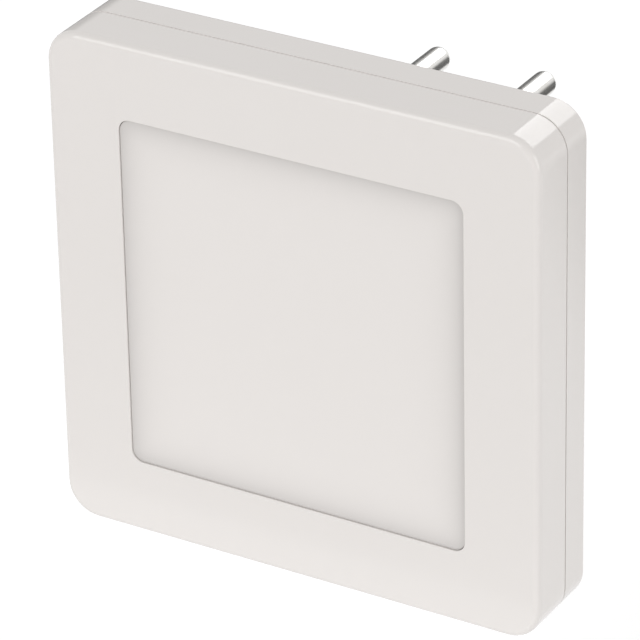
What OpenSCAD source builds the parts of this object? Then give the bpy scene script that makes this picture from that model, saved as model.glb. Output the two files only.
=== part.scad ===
// Square plug in night light: a glossy shell in two halves, an opal window,
// a reflector tray with nine LEDs, a driver board and a two pin plug behind.
// Origin: on the plug's end face, midway between the pins. +X right, +Y into
// the socket, +Z up. The room side faces -Y. All sizes are in millimetres.

/* [Body] */
// Width of the square body
body_w = 84; // [82:0.5:96]
// Height of the square body
body_h = 84; // [82:0.5:96]
// Depth of the body, front face to flat back
body_t = 14.8; // [14.4:0.1:18]
// Depth of the front shell, from the front face to the parting line
front_depth = 8.5; // [8.2:0.1:9]
// Radius of the body's four corners, seen from the front
corner_r = 5.5; // [5:0.5:8]
// Radius along the front edge
edge_r = 0.9; // [0.4:0.1:1.5]
// Radius along the back edge
back_edge_r = 0.5; // [0.3:0.1:1]
// Thickness of the side walls
side_wall = 1.8; // [1.4:0.1:2]
// Thickness of the front and back faces
face_wall = 2; // [1.6:0.1:2.2]
// Width of the groove along the parting line
groove_w = 0.25; // [0.1:0.05:0.5]
// Depth of the groove along the parting line
groove_d = 0.4; // [0.2:0.1:0.8]
// Height of the rear shell's locating lip
lip_h = 1.5; // [1:0.1:2]
// Thickness of the locating lip
lip_t = 0.8; // [0.6:0.1:1]

/* [Window] */
// Width of the frame round the window
band = 12.5; // [12.2:0.1:16]
// Corner radius of the window
window_r = 2; // [1:0.5:5]
// How far the opal face lies behind the front face
window_recess = 0.3; // [0.2:0.1:1]
// Thickness of the diffuser's flange behind the front face
flange_t = 1.2; // [0.8:0.1:1.5]
// How far the flange laps behind the window's edge
flange_lap = 2.5; // [1.5:0.1:2.7]
// Corner radius of the flange, the tray and the board
stack_r = 3; // [2:0.5:6]
// Height of the rib that locates the flange
rib_h = 2.5; // [1:0.1:3]
// Thickness of that rib
rib_t = 1.2; // [0.8:0.1:1.4]

/* [Light] */
// Number of LEDs along one side of the square grid
led_rows = 3; // [2:1:4]
// Distance between neighbouring LEDs
led_pitch = 18; // [12:0.5:18]
// Length of one LED package
led_l = 3.5; // [3:0.1:5]
// Width of one LED package
led_w = 2.8; // [2:0.1:3.5]
// Height of one LED package
led_h = 0.7; // [0.5:0.05:0.9]
// Width of the phosphor face on an LED
phosphor_w = 1.9; // [1:0.1:2]
// Thickness of the reflector tray's floor
tray_floor = 1; // [0.8:0.1:1.2]
// Thickness of the tray's rim at the diffuser
tray_rim = 1.2; // [0.8:0.1:2]
// How far the tray's walls slope in towards the floor
tray_slope = 3; // [1:0.5:4]
// Thickness of the circuit board
board_t = 1.6; // [1:0.1:1.8]

/* [Plug] */
// Distance between the two pins
pin_pitch = 19; // [18:0.1:20]
// Diameter of a pin's bare tip
pin_d = 4; // [3.8:0.1:4.8]
// Length of a pin in front of the plug's end face
pin_len = 19; // [18:0.5:21]
// Radius on a pin's tip
pin_tip_r = 1.5; // [0.5:0.1:1.8]
// Diameter of a pin under its sleeve
pin_neck_d = 2.8; // [2.4:0.1:3.2]
// Length of the insulating sleeve outside the plug block
sleeve_len = 10; // [8:0.5:12]
// Outer diameter of the sleeve
sleeve_d = 3.6; // [3.4:0.05:3.8]
// Diameter of the collar that stops a pin
collar_d = 6; // [5:0.1:7]
// Thickness of that collar
collar_t = 1.5; // [1:0.1:2]
// Length of a pin behind its collar
tail_len = 7.5; // [6:0.5:9]
// Diameter of a pin behind its collar
tail_d = 3.4; // [3:0.1:3.8]
// Width of the plug block
plug_w = 35.3; // [34.5:0.1:37]
// Height of the plug block
plug_h = 13.7; // [13:0.1:15]
// Length of the plug block
plug_len = 19; // [17.5:0.5:22]
// Wall of the plug block
plug_wall = 2; // [1.6:0.1:2.2]
// Thickness of the plug block's end
plug_end = 3; // [2.5:0.1:4]
// Radius around the plug's end face
plug_edge_r = 1; // [0.5:0.1:1.5]
// Thickness of the plate that holds the pins
retainer_t = 3; // [2:0.1:4]
// Distance from the body's top edge down to the pins
plug_drop = 24.2; // [23:0.1:28]

/* [Driver box] */
// Width of the raised box on the back
box_w = 56; // [54:0.5:60]
// Height of the raised box
box_h = 48; // [47:0.5:52]
// How far the box stands behind the body
box_t = 11; // [8:0.5:12]
// Distance from the body's top edge to the box
box_drop = 8; // [7.5:0.1:9]
// Corner radius of the box
box_r = 6; // [4:0.5:8]
// Radius around the back of the box
box_edge_r = 1.2; // [0.5:0.1:2]

/* [Driver] */
// Length of the film capacitor
film_l = 18; // [13:0.5:18]
// Height of the film capacitor above the board
film_h = 9; // [8:0.1:9.5]
// Width of the film capacitor
film_w = 7.5; // [5:0.5:8]
// Diameter of the electrolytic capacitor
can_d = 8; // [5:0.5:8]
// Length of the electrolytic capacitor
can_l = 11.5; // [9:0.5:12]
// Diameter of the fusible resistor
fuse_d = 3.2; // [2.5:0.1:3.5]
// Length of the fusible resistor
fuse_l = 9; // [6:0.5:9.5]
// Side of the square rectifier package
bridge_w = 4.8; // [4:0.1:5.5]
// Height of the rectifier package
bridge_h = 2.5; // [1.5:0.1:3]
// Length of the LED driver chip
chip_l = 4.9; // [4:0.1:6]
// Width of the LED driver chip
chip_w = 3.9; // [3:0.1:5]
// Height of the LED driver chip
chip_h = 1.5; // [1:0.1:2]
// Length of a chip resistor
smd_l = 3.2; // [2:0.1:3.5]
// Width of a chip resistor
smd_w = 1.6; // [1.2:0.1:2]
// Height of a chip resistor
smd_h = 0.6; // [0.4:0.05:0.8]
// Distance between the chip resistors
smd_pitch = 5; // [3.6:0.1:6]
// Diameter of an insulated wire
wire_d = 1.6; // [1:0.1:2]
// How far the wires spread from the pins to the board
wire_spread = 3; // [1:0.5:4]
// How far the wires drop on their way to the board
wire_drop = 4; // [2:0.5:5]
// Distance from the box's lower side to the capacitors' centre line
cap_row = 9; // [8:0.5:10]
// Distance from the capacitors' centre line up to the chip resistors
smd_row = 9; // [6:0.5:9.5]
// Distance from the box's upper side to the rectifier's centre line
chip_row = 6.5; // [6:0.5:7]
// Sideways place of the film capacitor
film_x = -12; // [-14:0.5:-10]
// Sideways place of the electrolytic capacitor
can_x = 12; // [9:0.5:15]
// Sideways place of the fusible resistor
fuse_x = -14; // [-16:0.5:-10]
// Sideways place of the rectifier
bridge_x = 3; // [0:0.5:6]
// Sideways place of the LED driver chip
chip_x = 16; // [12:0.5:20]
// Diameter of the parts' leads
lead_d = 0.7; // [0.4:0.1:0.9]
// How far a lead runs out of a part before it bends
lead_out = 1.5; // [1:0.1:2]

/* [Switch] */
// Travel of the slide switch
travel = 2; // [1.5:0.1:2.5]
// Length of the switch's case
case_l = 8.6; // [8:0.1:10]
// Thickness of the switch's case
case_t = 3.6; // [3.4:0.1:4]
// Height of the switch's case
case_h = 3.6; // [3:0.1:4]
// Length of the knob that the finger pushes
knob_l = 6; // [5:0.1:7]
// Thickness of the knob
knob_t = 2.8; // [2.4:0.1:2.9]
// How far the knob stands out of the body
knob_out = 1; // [0.5:0.1:2]
// Length of the switch's stem
stem_l = 2; // [1.5:0.1:2.4]
// Thickness of the switch's stem
stem_t = 1.2; // [1:0.1:1.4]

/* [Screws] */
// Core diameter of the screws
screw_d = 2.2; // [2:0.1:2.4]
// Head diameter of the screws
head_d = 4.6; // [4:0.1:4.8]
// Head height of the screws
head_h = 1.5; // [1.2:0.1:1.6]
// Outer diameter of the screw bosses
boss_d = 6; // [5.8:0.1:6.4]
// Distance of the corner bosses from the body's sides
boss_inset = 6.5; // [6:0.1:6.5]

/* [Hidden] */
$fn = 48;

// Clearances
press_gap = 0.02;       // parts pushed into each other
window_gap = 0.06;      // round the opal face in its window
slip_gap = 0.15;        // parts dropped into a pocket
move_gap = 0.3;         // round anything that slides
over = 1;               // how far a cut runs past a face

// Stack, measured from the front face
flange_back = face_wall + flange_t;
board_front = front_depth;
board_back = board_front + board_t;
back_inside = body_t - face_wall;
box_back = body_t + box_t;
box_inside = box_back - face_wall;
total_t = box_back + plug_len;
window_w = body_w - 2 * band;
window_h = body_h - 2 * band;
stack_w = window_w + 2 * flange_lap;
stack_h = window_h + 2 * flange_lap;

// Heights, measured from the body's centre
pin_z = body_h / 2 - plug_drop;
box_z = body_h / 2 - box_drop - box_h / 2;
wall_z = body_h / 2 - side_wall;

// Screws
clear_d = screw_d + 0.5;
seat_depth = head_h + 0.2;
seat_y = body_t - seat_depth;
pilot_bottom = face_wall + 0.8;
screw_tip = pilot_bottom + 0.6;
boss_x = body_w / 2 - boss_inset;
boss_z = body_h / 2 - boss_inset;
retainer_y = -plug_end - collar_t;
retainer_pilot = plug_end - 1;

// Switch, measured from the front face and down from the centre
switch_y = board_front - case_t / 2;
knob_flange_t = 0.9;
knob_flange_z = wall_z - 0.25;
case_z = knob_flange_z - knob_flange_t - move_gap;
slot_l = knob_l + travel + 2 * move_gap;
knob_flange_l = slot_l + travel + 1;
knob_flange_w = knob_t + 1.4;
stem_in = 1.2;
stem_hold = 0.8;        // how deep the stem enters the knob
off_x = -travel / 2;
tongue_side = 3;        // board beside the switch's case
tongue_w = case_l + 2 * tongue_side;
tag_pitch = 2.5;        // between the switch's solder tags

// Posts between the rear shell and the board
post_d = 4;
post_x = stack_w / 2 - 2.5;
post_z = stack_h / 2 - 6;

// Rows of parts on the board, and how they stand on it
caps_z = box_z - box_h / 2 + cap_row;
chips_z = box_z + box_h / 2 - chip_row;
standoff = 0.3;         // air under a part that lies on its leads
leg_t = 0.25;           // thickness of a chip's legs

// ---- shared shapes ----

// Puts what is drawn from the front face's centre in its place
module in_body() {
    translate([0, -total_t, -pin_z]) children();
}

// Rectangle with round corners
module round_rect(w, h, r) {
    square([w - 2 * r, h], center = true);
    if (h > 2 * r + 0.001)
        square([w, h - 2 * r], center = true);
    for (x = [-1, 1], y = [-1, 1])
        translate([x * (w / 2 - r), y * (h / 2 - r)]) circle(r);
}

// Flat plate between two depths
module plate(w, h, r, y0, y1) {
    translate([0, y1, 0]) rotate([90, 0, 0])
        linear_extrude(y1 - y0) round_rect(w, h, r);
}

// Box between two depths, centred on x and z
module block(w, h, y0, y1, x = 0, z = 0) {
    translate([x - w / 2, y0, z - h / 2]) cube([w, y1 - y0, h]);
}

// Round bar along the depth
module bar(d, y0, y1, x = 0, z = 0) {
    translate([x, y1, z]) rotate([90, 0, 0]) cylinder(d = d, h = y1 - y0);
}

// Section of a slab's rim, with its outer edge rounded
module rim_section(band, t, e) {
    difference() {
        square([band, t]);
        difference() {
            translate([band - e, -over]) square([e + over, e + over]);
            translate([band - e, e]) circle(e);
        }
    }
}

// Slab with round corners and one rounded face, its depth along +Z
module soft_slab(w, h, r, e, t) {
    for (a = [0, 90, 180, 270]) {
        side = a % 180 == 0 ? h : w;
        x = a % 180 == 0 ? w / 2 - r : h / 2 - r;
        rotate([0, 0, a]) {
            translate([x, side / 2 - r, 0])
                rotate_extrude(angle = 90) rim_section(r, t, e);
            if (side > 2 * r + 0.001)
                translate([x, side / 2 - r, 0]) rotate([90, 0, 0])
                    linear_extrude(side - 2 * r) rim_section(r, t, e);
        }
    }
    if (h > 2 * r + 0.001)
        translate([r - w / 2, r - h / 2, 0]) cube([w - 2 * r, h - 2 * r, t]);
}

// Turns a soft slab so that its rounded face looks to the front
module facing_front(y) {
    translate([0, y, 0]) rotate([-90, 0, 0]) children();
}

// Turns a soft slab so that its rounded face looks to the back
module facing_back(y) {
    translate([0, y, 0]) rotate([90, 0, 0]) children();
}

// Runs its children at the four corner screws
module at_corners() {
    for (x = [-1, 1], z = [-1, 1])
        translate([x * boss_x, 0, z * boss_z]) children();
}

// Screw with a cross recess, its head towards +Y when turned is 1
module screw(seat, tip) {
    turned = seat > tip ? 1 : -1;
    recess = head_h * 0.6;
    difference() {
        union() {
            bar(screw_d - 2 * press_gap, min(seat, tip), max(seat, tip));
            bar(head_d, min(seat, seat + turned * head_h), max(seat, seat + turned * head_h));
        }
        for (a = [0, 90]) rotate([0, a, 0])
            translate([0, seat + turned * (head_h - recess / 2 + over / 2), 0])
                cube([head_d * 0.6, recess + over, 0.6], center = true);
    }
}

// ---- shells ----

module front_bezel() {
    color([0.91, 0.89, 0.88]) in_body() difference() {
        union() {
            difference() {
                facing_front(0) soft_slab(body_w, body_h, corner_r, edge_r, front_depth);
                plate(body_w - 2 * side_wall, body_h - 2 * side_wall,
                      corner_r - side_wall, face_wall, front_depth + over);
            }
            locating_rib();
            at_corners() bar(boss_d, face_wall - 0.2, front_depth);
        }
        plate(window_w, window_h, window_r, -over, face_wall + over);
        at_corners() bar(screw_d, pilot_bottom, front_depth + over);
        switch_slot();
    }
}

// Low frame behind the front face that the diffuser drops into
module locating_rib() {
    gap = 2 * slip_gap;
    difference() {
        plate(stack_w + gap + 2 * rib_t, stack_h + gap + 2 * rib_t,
              stack_r + rib_t, face_wall - 0.2, face_wall + rib_h);
        plate(stack_w + gap, stack_h + gap, stack_r, face_wall - over, face_wall + rib_h + over);
    }
}

// Slot for the knob, open to the parting line
module switch_slot() {
    y0 = switch_y - knob_t / 2 - move_gap;
    block(slot_l, side_wall + 2 * over, y0, front_depth + over,
          0, -body_h / 2 + side_wall / 2);
}

module rear_housing() {
    color([0.90, 0.88, 0.87]) in_body() difference() {
        union() {
            difference() {
                rear_outside();
                rear_hollows();
            }
            locating_lip();
            at_corners() bar(boss_d, front_depth, body_t - seat_depth + 0.1);
            board_posts();
            bar(boss_d, total_t + retainer_y, total_t - plug_end + 0.1, 0, pin_z);
        }
        at_corners() bar(clear_d, front_depth - over, body_t);
        at_corners() bar(head_d + 0.6, seat_y, body_t + over);
        for (x = [-1, 1])
            bar(sleeve_d + 2 * press_gap, total_t - plug_end - over, total_t + over,
                x * pin_pitch / 2, pin_z);
        bar(screw_d, total_t + retainer_y - over, total_t - plug_end + retainer_pilot, 0, pin_z);
    }
}

// Shell, driver box and plug block from outside
module rear_outside() {
    difference() {
        facing_back(body_t)
            soft_slab(body_w, body_h, corner_r, back_edge_r, body_t - front_depth);
        difference() {
            plate(body_w + over, body_h + over, corner_r, front_depth - over,
                  front_depth + groove_w);
            plate(body_w - 2 * groove_d, body_h - 2 * groove_d, corner_r - groove_d,
                  front_depth - 2 * over, front_depth + over);
        }
    }
    translate([0, 0, box_z]) facing_back(box_back)
        soft_slab(box_w, box_h, box_r, box_edge_r, box_t);
    translate([0, 0, pin_z]) facing_back(total_t)
        soft_slab(plug_w, plug_h, plug_h / 2, plug_edge_r, plug_len);
}

module rear_hollows() {
    plate(body_w - 2 * side_wall, body_h - 2 * side_wall, corner_r - side_wall,
          front_depth - over, back_inside);
    translate([0, 0, box_z])
        plate(box_w - 2 * face_wall, box_h - 2 * face_wall, box_r - face_wall,
              front_depth, box_inside);
    translate([0, 0, pin_z])
        plate(plug_w - 2 * plug_wall, plug_h - 2 * plug_wall, plug_h / 2 - plug_wall,
              front_depth, total_t - plug_end);
}

// Lip that enters the front shell, left open at the switch
module locating_lip() {
    w = body_w - 2 * side_wall;
    h = body_h - 2 * side_wall;
    r = corner_r - side_wall;
    gap = 2 * slip_gap;
    difference() {
        union() {
            plate(w - gap, h - gap, r - slip_gap, front_depth - lip_h, front_depth + 0.1);
            plate(w + 0.2, h + 0.2, r + 0.1, front_depth, front_depth + lip_h);
        }
        plate(w - gap - 2 * lip_t, h - gap - 2 * lip_t, r - slip_gap - lip_t,
              front_depth - lip_h - over, front_depth + lip_h + over);
        block(knob_flange_l + travel + 2 * move_gap, 2 * side_wall + 4 * lip_t,
              front_depth - lip_h - over, front_depth + lip_h + over, 0, -wall_z);
    }
}

// Posts that press the board, the tray and the diffuser to the front
module board_posts() {
    for (x = [-1, 1], z = [-1, 1])
        bar(post_d, board_back, back_inside + 0.2, x * post_x, z * post_z);
}

// ---- light ----

module diffuser() {
    gap = 2 * window_gap;
    color([0.93, 0.92, 0.90]) in_body() {
        plate(window_w - gap, window_h - gap, window_r, window_recess, face_wall);
        plate(stack_w, stack_h, stack_r, face_wall, flange_back);
    }
}

module reflector_tray() {
    color([0.97, 0.97, 0.97]) in_body() difference() {
        plate(stack_w, stack_h, stack_r, flange_back, board_front);
        tray_hollow();
        at_leds() block(led_l + 1, led_w + 1, flange_back, board_front + over);
    }
}

// Space inside the tray, wider at the diffuser than at the floor
module tray_hollow() {
    y0 = flange_back - over;
    y1 = board_front - tray_floor;
    intersection() {
        linear_extrude(stack_h, center = true) hollow_section(stack_w / 2 - tray_rim, y0, y1);
        rotate([0, 90, 0]) linear_extrude(stack_w, center = true)
            hollow_section(stack_h / 2 - tray_rim, y0, y1);
    }
}

module hollow_section(half, y0, y1) {
    polygon([[-half, y0], [half, y0], [half - tray_slope, y1], [tray_slope - half, y1]]);
}

// Runs its children at each LED of the grid
module at_leds() {
    first = -(led_rows - 1) / 2 * led_pitch;
    for (i = [0:led_rows - 1], j = [0:led_rows - 1])
        translate([first + i * led_pitch, 0, first + j * led_pitch]) children();
}

module main_board() {
    tongue_end = case_z;
    color([0.16, 0.42, 0.27]) in_body() {
        plate(stack_w, stack_h, stack_r, board_front, board_back);
        translate([-tongue_w / 2, board_front, -tongue_end])
            cube([tongue_w, board_t, tongue_end]);
    }
}

module led_packages() {
    color([0.96, 0.96, 0.94]) in_body()
        at_leds() block(led_l, led_w, board_front - led_h, board_front);
}

module led_phosphors() {
    front = board_front - led_h;
    color([0.95, 0.85, 0.35]) in_body()
        at_leds() block(phosphor_w + 0.5, phosphor_w, front - 0.1, front);
}

// ---- plug ----

// Turned pin with a neck for its sleeve, a stop collar and a solder tail
module pin(x) {
    r = pin_d / 2;
    collar_y = -plug_end - collar_t;
    color([0.80, 0.80, 0.78]) translate([x, 0, 0]) rotate([-90, 0, 0]) rotate_extrude() {
        translate([0, collar_y - tail_len]) square([tail_d / 2, tail_len]);
        translate([0, collar_y]) square([collar_d / 2, collar_t]);
        translate([0, -plug_end]) square([pin_neck_d / 2, plug_end + sleeve_len]);
        translate([0, sleeve_len]) square([r, pin_len - pin_tip_r - sleeve_len]);
        translate([0, pin_len - pin_tip_r]) square([r - pin_tip_r, pin_tip_r]);
        intersection() {
            translate([r - pin_tip_r, pin_len - pin_tip_r]) circle(pin_tip_r);
            translate([0, pin_len - pin_tip_r]) square([r, pin_tip_r]);
        }
    }
}

// Insulating sleeve over a pin's neck, from its collar through the plug's end
module sleeve(x) {
    color([0.88, 0.87, 0.85]) translate([x, 0, 0]) difference() {
        bar(sleeve_d, -plug_end, sleeve_len);
        bar(pin_neck_d + 2 * press_gap, -plug_end - over, sleeve_len + over);
    }
}

module live_pin() {
    pin(-pin_pitch / 2);
}

module neutral_pin() {
    pin(pin_pitch / 2);
}

module live_sleeve() {
    sleeve(-pin_pitch / 2);
}

module neutral_sleeve() {
    sleeve(pin_pitch / 2);
}

module pin_retainer() {
    gap = 2 * slip_gap;
    w = plug_w - 2 * plug_wall - gap;
    h = plug_h - 2 * plug_wall - gap;
    color([0.85, 0.84, 0.80]) difference() {
        plate(w, h, h / 2, retainer_y - retainer_t, retainer_y);
        for (x = [-1, 1])
            bar(tail_d + 2 * press_gap, retainer_y - retainer_t - over, retainer_y + over,
                x * pin_pitch / 2);
        bar(clear_d, retainer_y - retainer_t - over, retainer_y + over);
    }
}

module retainer_screw() {
    color([0.72, 0.72, 0.70])
        screw(retainer_y - retainer_t, -plug_end + retainer_pilot - 0.3);
}

module housing_screws() {
    color([0.72, 0.72, 0.70]) in_body() at_corners() screw(seat_y, screw_tip);
}

// Insulated wire from a pin's tail to the board, in a soft S
module wire(side) {
    rings = 16;
    sides = 10;
    start = [side * pin_pitch / 2, -plug_end - collar_t - tail_len, 0];
    end = [side * (pin_pitch / 2 + wire_spread), board_back - total_t, -wire_drop];
    points = [for (i = [0:rings], j = [0:sides - 1])
        let (t = i / rings, s = t * t * (3 - 2 * t), a = 360 * j / sides)
        [start[0] + (end[0] - start[0]) * s + wire_d / 2 * cos(a),
         start[1] + (end[1] - start[1]) * t,
         start[2] + (end[2] - start[2]) * s + wire_d / 2 * sin(a)]];
    walls = [for (i = [0:rings - 1], j = [0:sides - 1])
        let (k = (j + 1) % sides)
        [i * sides + j, i * sides + k, (i + 1) * sides + k, (i + 1) * sides + j]];
    caps = [[for (j = [sides - 1:-1:0]) j], [for (j = [0:sides - 1]) rings * sides + j]];
    polyhedron(points, concat(walls, caps));
}

module live_wire() {
    color([0.45, 0.26, 0.16]) wire(-1);
}

module neutral_wire() {
    color([0.25, 0.40, 0.68]) wire(1);
}

// ---- driver, on the back of the board ----

// Lead that leaves a lying part at x0, runs out along X and turns down to the board
module bent_lead(x0, out, y, z) {
    inside = -sign(out) * lead_d / 2;
    translate([min(x0 + inside, x0 + out), y, z]) rotate([0, 90, 0])
        cylinder(d = lead_d, h = abs(out - inside));
    translate([x0 + out, y, z]) sphere(d = lead_d);
    bar(lead_d, board_back, y, x0 + out, z);
}

module film_capacitor() {
    color([0.85, 0.70, 0.25]) in_body() {
        translate([film_x, 0, caps_z])
            plate(film_l, film_w, lead_d, board_back + standoff, board_back + standoff + film_h);
        for (x = [-1, 1])
            bar(lead_d, board_back, board_back + 2 * standoff,
                film_x + x * (film_l / 2 - lead_out), caps_z);
    }
}

module electrolytic_capacitor() {
    y = board_back + standoff + can_d / 2;
    color([0.20, 0.22, 0.30]) in_body() {
        translate([can_x - can_l / 2, y, caps_z]) rotate([0, 90, 0])
            rotate_extrude() can_section();
        for (z = [-1, 1])
            bent_lead(can_x - can_l / 2, -lead_out, y, caps_z + z * can_d / 5);
    }
}

// Half section of the can, with the crimp near its sealed end
module can_section() {
    r = can_d / 2;
    crimp = can_d / 10;
    difference() {
        square([r, can_l]);
        translate([r + crimp / 2, 2 * crimp]) circle(crimp);
    }
}

module fusible_resistor() {
    y = board_back + standoff + fuse_d / 2;
    color([0.55, 0.70, 0.75]) in_body() {
        translate([fuse_x - fuse_l / 2, y, chips_z]) rotate([0, 90, 0]) {
            cylinder(d = fuse_d, h = fuse_l / 4);
            cylinder(d = fuse_d * 0.88, h = fuse_l);
            translate([0, 0, fuse_l * 3 / 4]) cylinder(d = fuse_d, h = fuse_l / 4);
        }
        for (x = [-1, 1])
            bent_lead(fuse_x + x * fuse_l / 2, x * lead_out, y, chips_z);
    }
}

module bridge_rectifier() {
    color([0.12, 0.12, 0.13]) in_body() translate([bridge_x, 0, chips_z]) {
        block(bridge_w, bridge_w, board_back + leg_t, board_back + leg_t + bridge_h);
        for (x = [-1, 1], z = [-1, 1])
            block(bridge_w / 7, 4 * leg_t, board_back, board_back + leg_t,
                  x * bridge_w / 4, z * (bridge_w / 2 + leg_t));
    }
}

module driver_chip() {
    pitch = chip_l / 5;
    color([0.14, 0.14, 0.15]) in_body() translate([chip_x, 0, chips_z]) {
        block(chip_l, chip_w, board_back + leg_t, board_back + leg_t + chip_h);
        for (i = [-1.5:1:1.5], z = [-1, 1])
            block(pitch / 2, 4 * leg_t, board_back, board_back + leg_t, i * pitch,
                  z * (chip_w / 2 + leg_t));
    }
}

// Four chip resistors in a row beside the capacitors
module chip_resistors() {
    color([0.20, 0.20, 0.22]) in_body()
        for (i = [-1.5:1:1.5])
            block(smd_l, smd_w, board_back, board_back + smd_h,
                  film_x + i * smd_pitch, caps_z + smd_row);
}

// ---- switch ----

module switch_case() {
    color([0.75, 0.75, 0.73]) in_body() difference() {
        block(case_l, case_h, board_front - case_t, board_front, 0, case_h / 2 - case_z);
        block(stem_l + travel + 2 * move_gap, 2 * (stem_in + move_gap),
              switch_y - stem_t / 2 - 0.2, switch_y + stem_t / 2 + 0.2, 0, -case_z);
    }
}

// Solder tags of the switch, behind the board's tongue
module switch_terminals() {
    color([0.80, 0.79, 0.75]) in_body()
        for (i = [-1:1])
            block(0.5, 0.9, board_back, board_back + 0.8, i * tag_pitch, case_h / 2 - case_z);
}

module switch_stem() {
    top = case_z - stem_in;
    bottom = knob_flange_z + stem_hold;
    color([0.15, 0.15, 0.15]) in_body()
        translate([off_x - stem_l / 2, switch_y - stem_t / 2, -bottom])
            cube([stem_l, stem_t, bottom - top]);
}

module switch_knob() {
    low = body_h / 2 + knob_out;
    gap = 2 * press_gap;
    rib = 0.5;
    color([0.88, 0.86, 0.84]) in_body() translate([off_x, switch_y, 0]) {
        difference() {
            union() {
                translate([-knob_l / 2, -knob_t / 2, -low])
                    cube([knob_l, knob_t, low - knob_flange_z + knob_flange_t]);
                translate([-knob_flange_l / 2, -knob_flange_w / 2, -knob_flange_z])
                    cube([knob_flange_l, knob_flange_w, knob_flange_t]);
            }
            translate([-(stem_l + gap) / 2, -(stem_t + gap) / 2,
                       -knob_flange_z - stem_hold - press_gap])
                cube([stem_l + gap, stem_t + gap, 2 * over + knob_flange_t]);
            for (i = [-1:1])
                translate([i * 3 * rib - rib / 2, -knob_t, -low - over])
                    cube([rib, 2 * knob_t, over + 0.3]);
        }
    }
}

front_bezel();
rear_housing();
diffuser();
reflector_tray();
main_board();
led_packages();
led_phosphors();
live_pin();
neutral_pin();
live_sleeve();
neutral_sleeve();
pin_retainer();
retainer_screw();
housing_screws();
live_wire();
neutral_wire();
film_capacitor();
electrolytic_capacitor();
fusible_resistor();
bridge_rectifier();
driver_chip();
chip_resistors();
switch_case();
switch_terminals();
switch_stem();
switch_knob();
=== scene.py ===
import math

import bmesh
import bpy
from mathutils import Matrix, Vector


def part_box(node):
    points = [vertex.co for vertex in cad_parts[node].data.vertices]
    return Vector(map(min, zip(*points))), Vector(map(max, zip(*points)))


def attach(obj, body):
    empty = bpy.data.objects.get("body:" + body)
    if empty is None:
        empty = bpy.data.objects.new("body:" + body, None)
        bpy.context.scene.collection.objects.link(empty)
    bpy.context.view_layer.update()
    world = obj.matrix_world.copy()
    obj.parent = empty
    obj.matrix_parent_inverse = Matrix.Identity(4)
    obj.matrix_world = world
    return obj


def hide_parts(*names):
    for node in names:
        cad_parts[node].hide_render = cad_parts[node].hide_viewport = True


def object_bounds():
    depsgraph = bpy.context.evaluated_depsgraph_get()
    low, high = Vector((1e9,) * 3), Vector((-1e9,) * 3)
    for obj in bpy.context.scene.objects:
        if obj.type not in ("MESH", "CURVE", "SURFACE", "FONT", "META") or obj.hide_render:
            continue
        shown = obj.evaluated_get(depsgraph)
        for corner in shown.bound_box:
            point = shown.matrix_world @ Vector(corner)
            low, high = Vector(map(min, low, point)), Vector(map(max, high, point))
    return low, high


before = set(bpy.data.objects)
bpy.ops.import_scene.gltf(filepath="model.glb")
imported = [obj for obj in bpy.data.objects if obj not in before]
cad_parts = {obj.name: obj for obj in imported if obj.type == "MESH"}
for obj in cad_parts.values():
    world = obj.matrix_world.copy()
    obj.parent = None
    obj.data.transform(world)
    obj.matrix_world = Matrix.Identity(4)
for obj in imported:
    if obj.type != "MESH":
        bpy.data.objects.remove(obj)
cad_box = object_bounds()

# ---- The room ----
# A pale paper floor, an even sky and four softboxes. The light hangs above the floor, as it
# does in a wall socket, so its shadow is soft. Two dark cards, which only reflections see,
# draw the dark stripes on the bright pins.

MM = 0.001
bezel_low, bezel_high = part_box("front_bezel")
FRONT_CENTRE = Vector((0, bezel_low.y, (bezel_low.z + bezel_high.z) / 2))

CAMERA_AZIMUTH = math.radians(30.95)
CAMERA_ELEVATION = math.radians(28.36)
CAMERA_ROLL = math.radians(-1.20)
CAMERA_DISTANCE = 737.2 * MM
CAMERA_RIGHT = 4.29 * MM
CAMERA_UP = 2.48 * MM
CAMERA_LENS = 276.8

level = math.cos(CAMERA_ELEVATION)
back = Vector((math.sin(CAMERA_AZIMUTH) * level, -math.cos(CAMERA_AZIMUTH) * level,
               math.sin(CAMERA_ELEVATION)))
flat_right = Vector((math.cos(CAMERA_AZIMUTH), math.sin(CAMERA_AZIMUTH), 0))
flat_up = flat_right.cross(-back)
right = math.cos(CAMERA_ROLL) * flat_right + math.sin(CAMERA_ROLL) * flat_up
up = math.cos(CAMERA_ROLL) * flat_up - math.sin(CAMERA_ROLL) * flat_right
camera_data = bpy.data.cameras.new("Camera")
camera_data.lens = CAMERA_LENS
camera_data.sensor_width = 36
camera_data.clip_start = 0.05
camera = bpy.data.objects.new("Camera", camera_data)
camera.matrix_world = Matrix.Translation(
    FRONT_CENTRE + right * CAMERA_RIGHT + up * CAMERA_UP + back * CAMERA_DISTANCE
) @ Matrix((right, up, back)).transposed().to_4x4()
bpy.context.collection.objects.link(camera)
bpy.context.scene.camera = camera
bpy.context.scene.view_settings.view_transform = "Standard"


def feed(tree, socket, value):
    """Links a socket to the given one, or sets it to a plain value."""
    if isinstance(value, bpy.types.NodeSocket):
        tree.links.new(value, socket)
    else:
        socket.default_value = value


def maths(tree, operation, *values):
    """One Math node, fed with sockets or numbers."""
    made = tree.nodes.new("ShaderNodeMath")
    made.operation = operation
    for socket, value in zip(made.inputs, values):
        feed(tree, socket, value)
    return made.outputs[0]


def seen_directly(tree):
    """1 for rays from the camera, from gloss and through glass, 0 for rays that only light."""
    path = tree.nodes.new("ShaderNodeLightPath").outputs
    first = maths(tree, "MAXIMUM", path["Is Camera Ray"], path["Is Glossy Ray"])
    return maths(tree, "MAXIMUM", first, path["Is Transmission Ray"])


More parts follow.
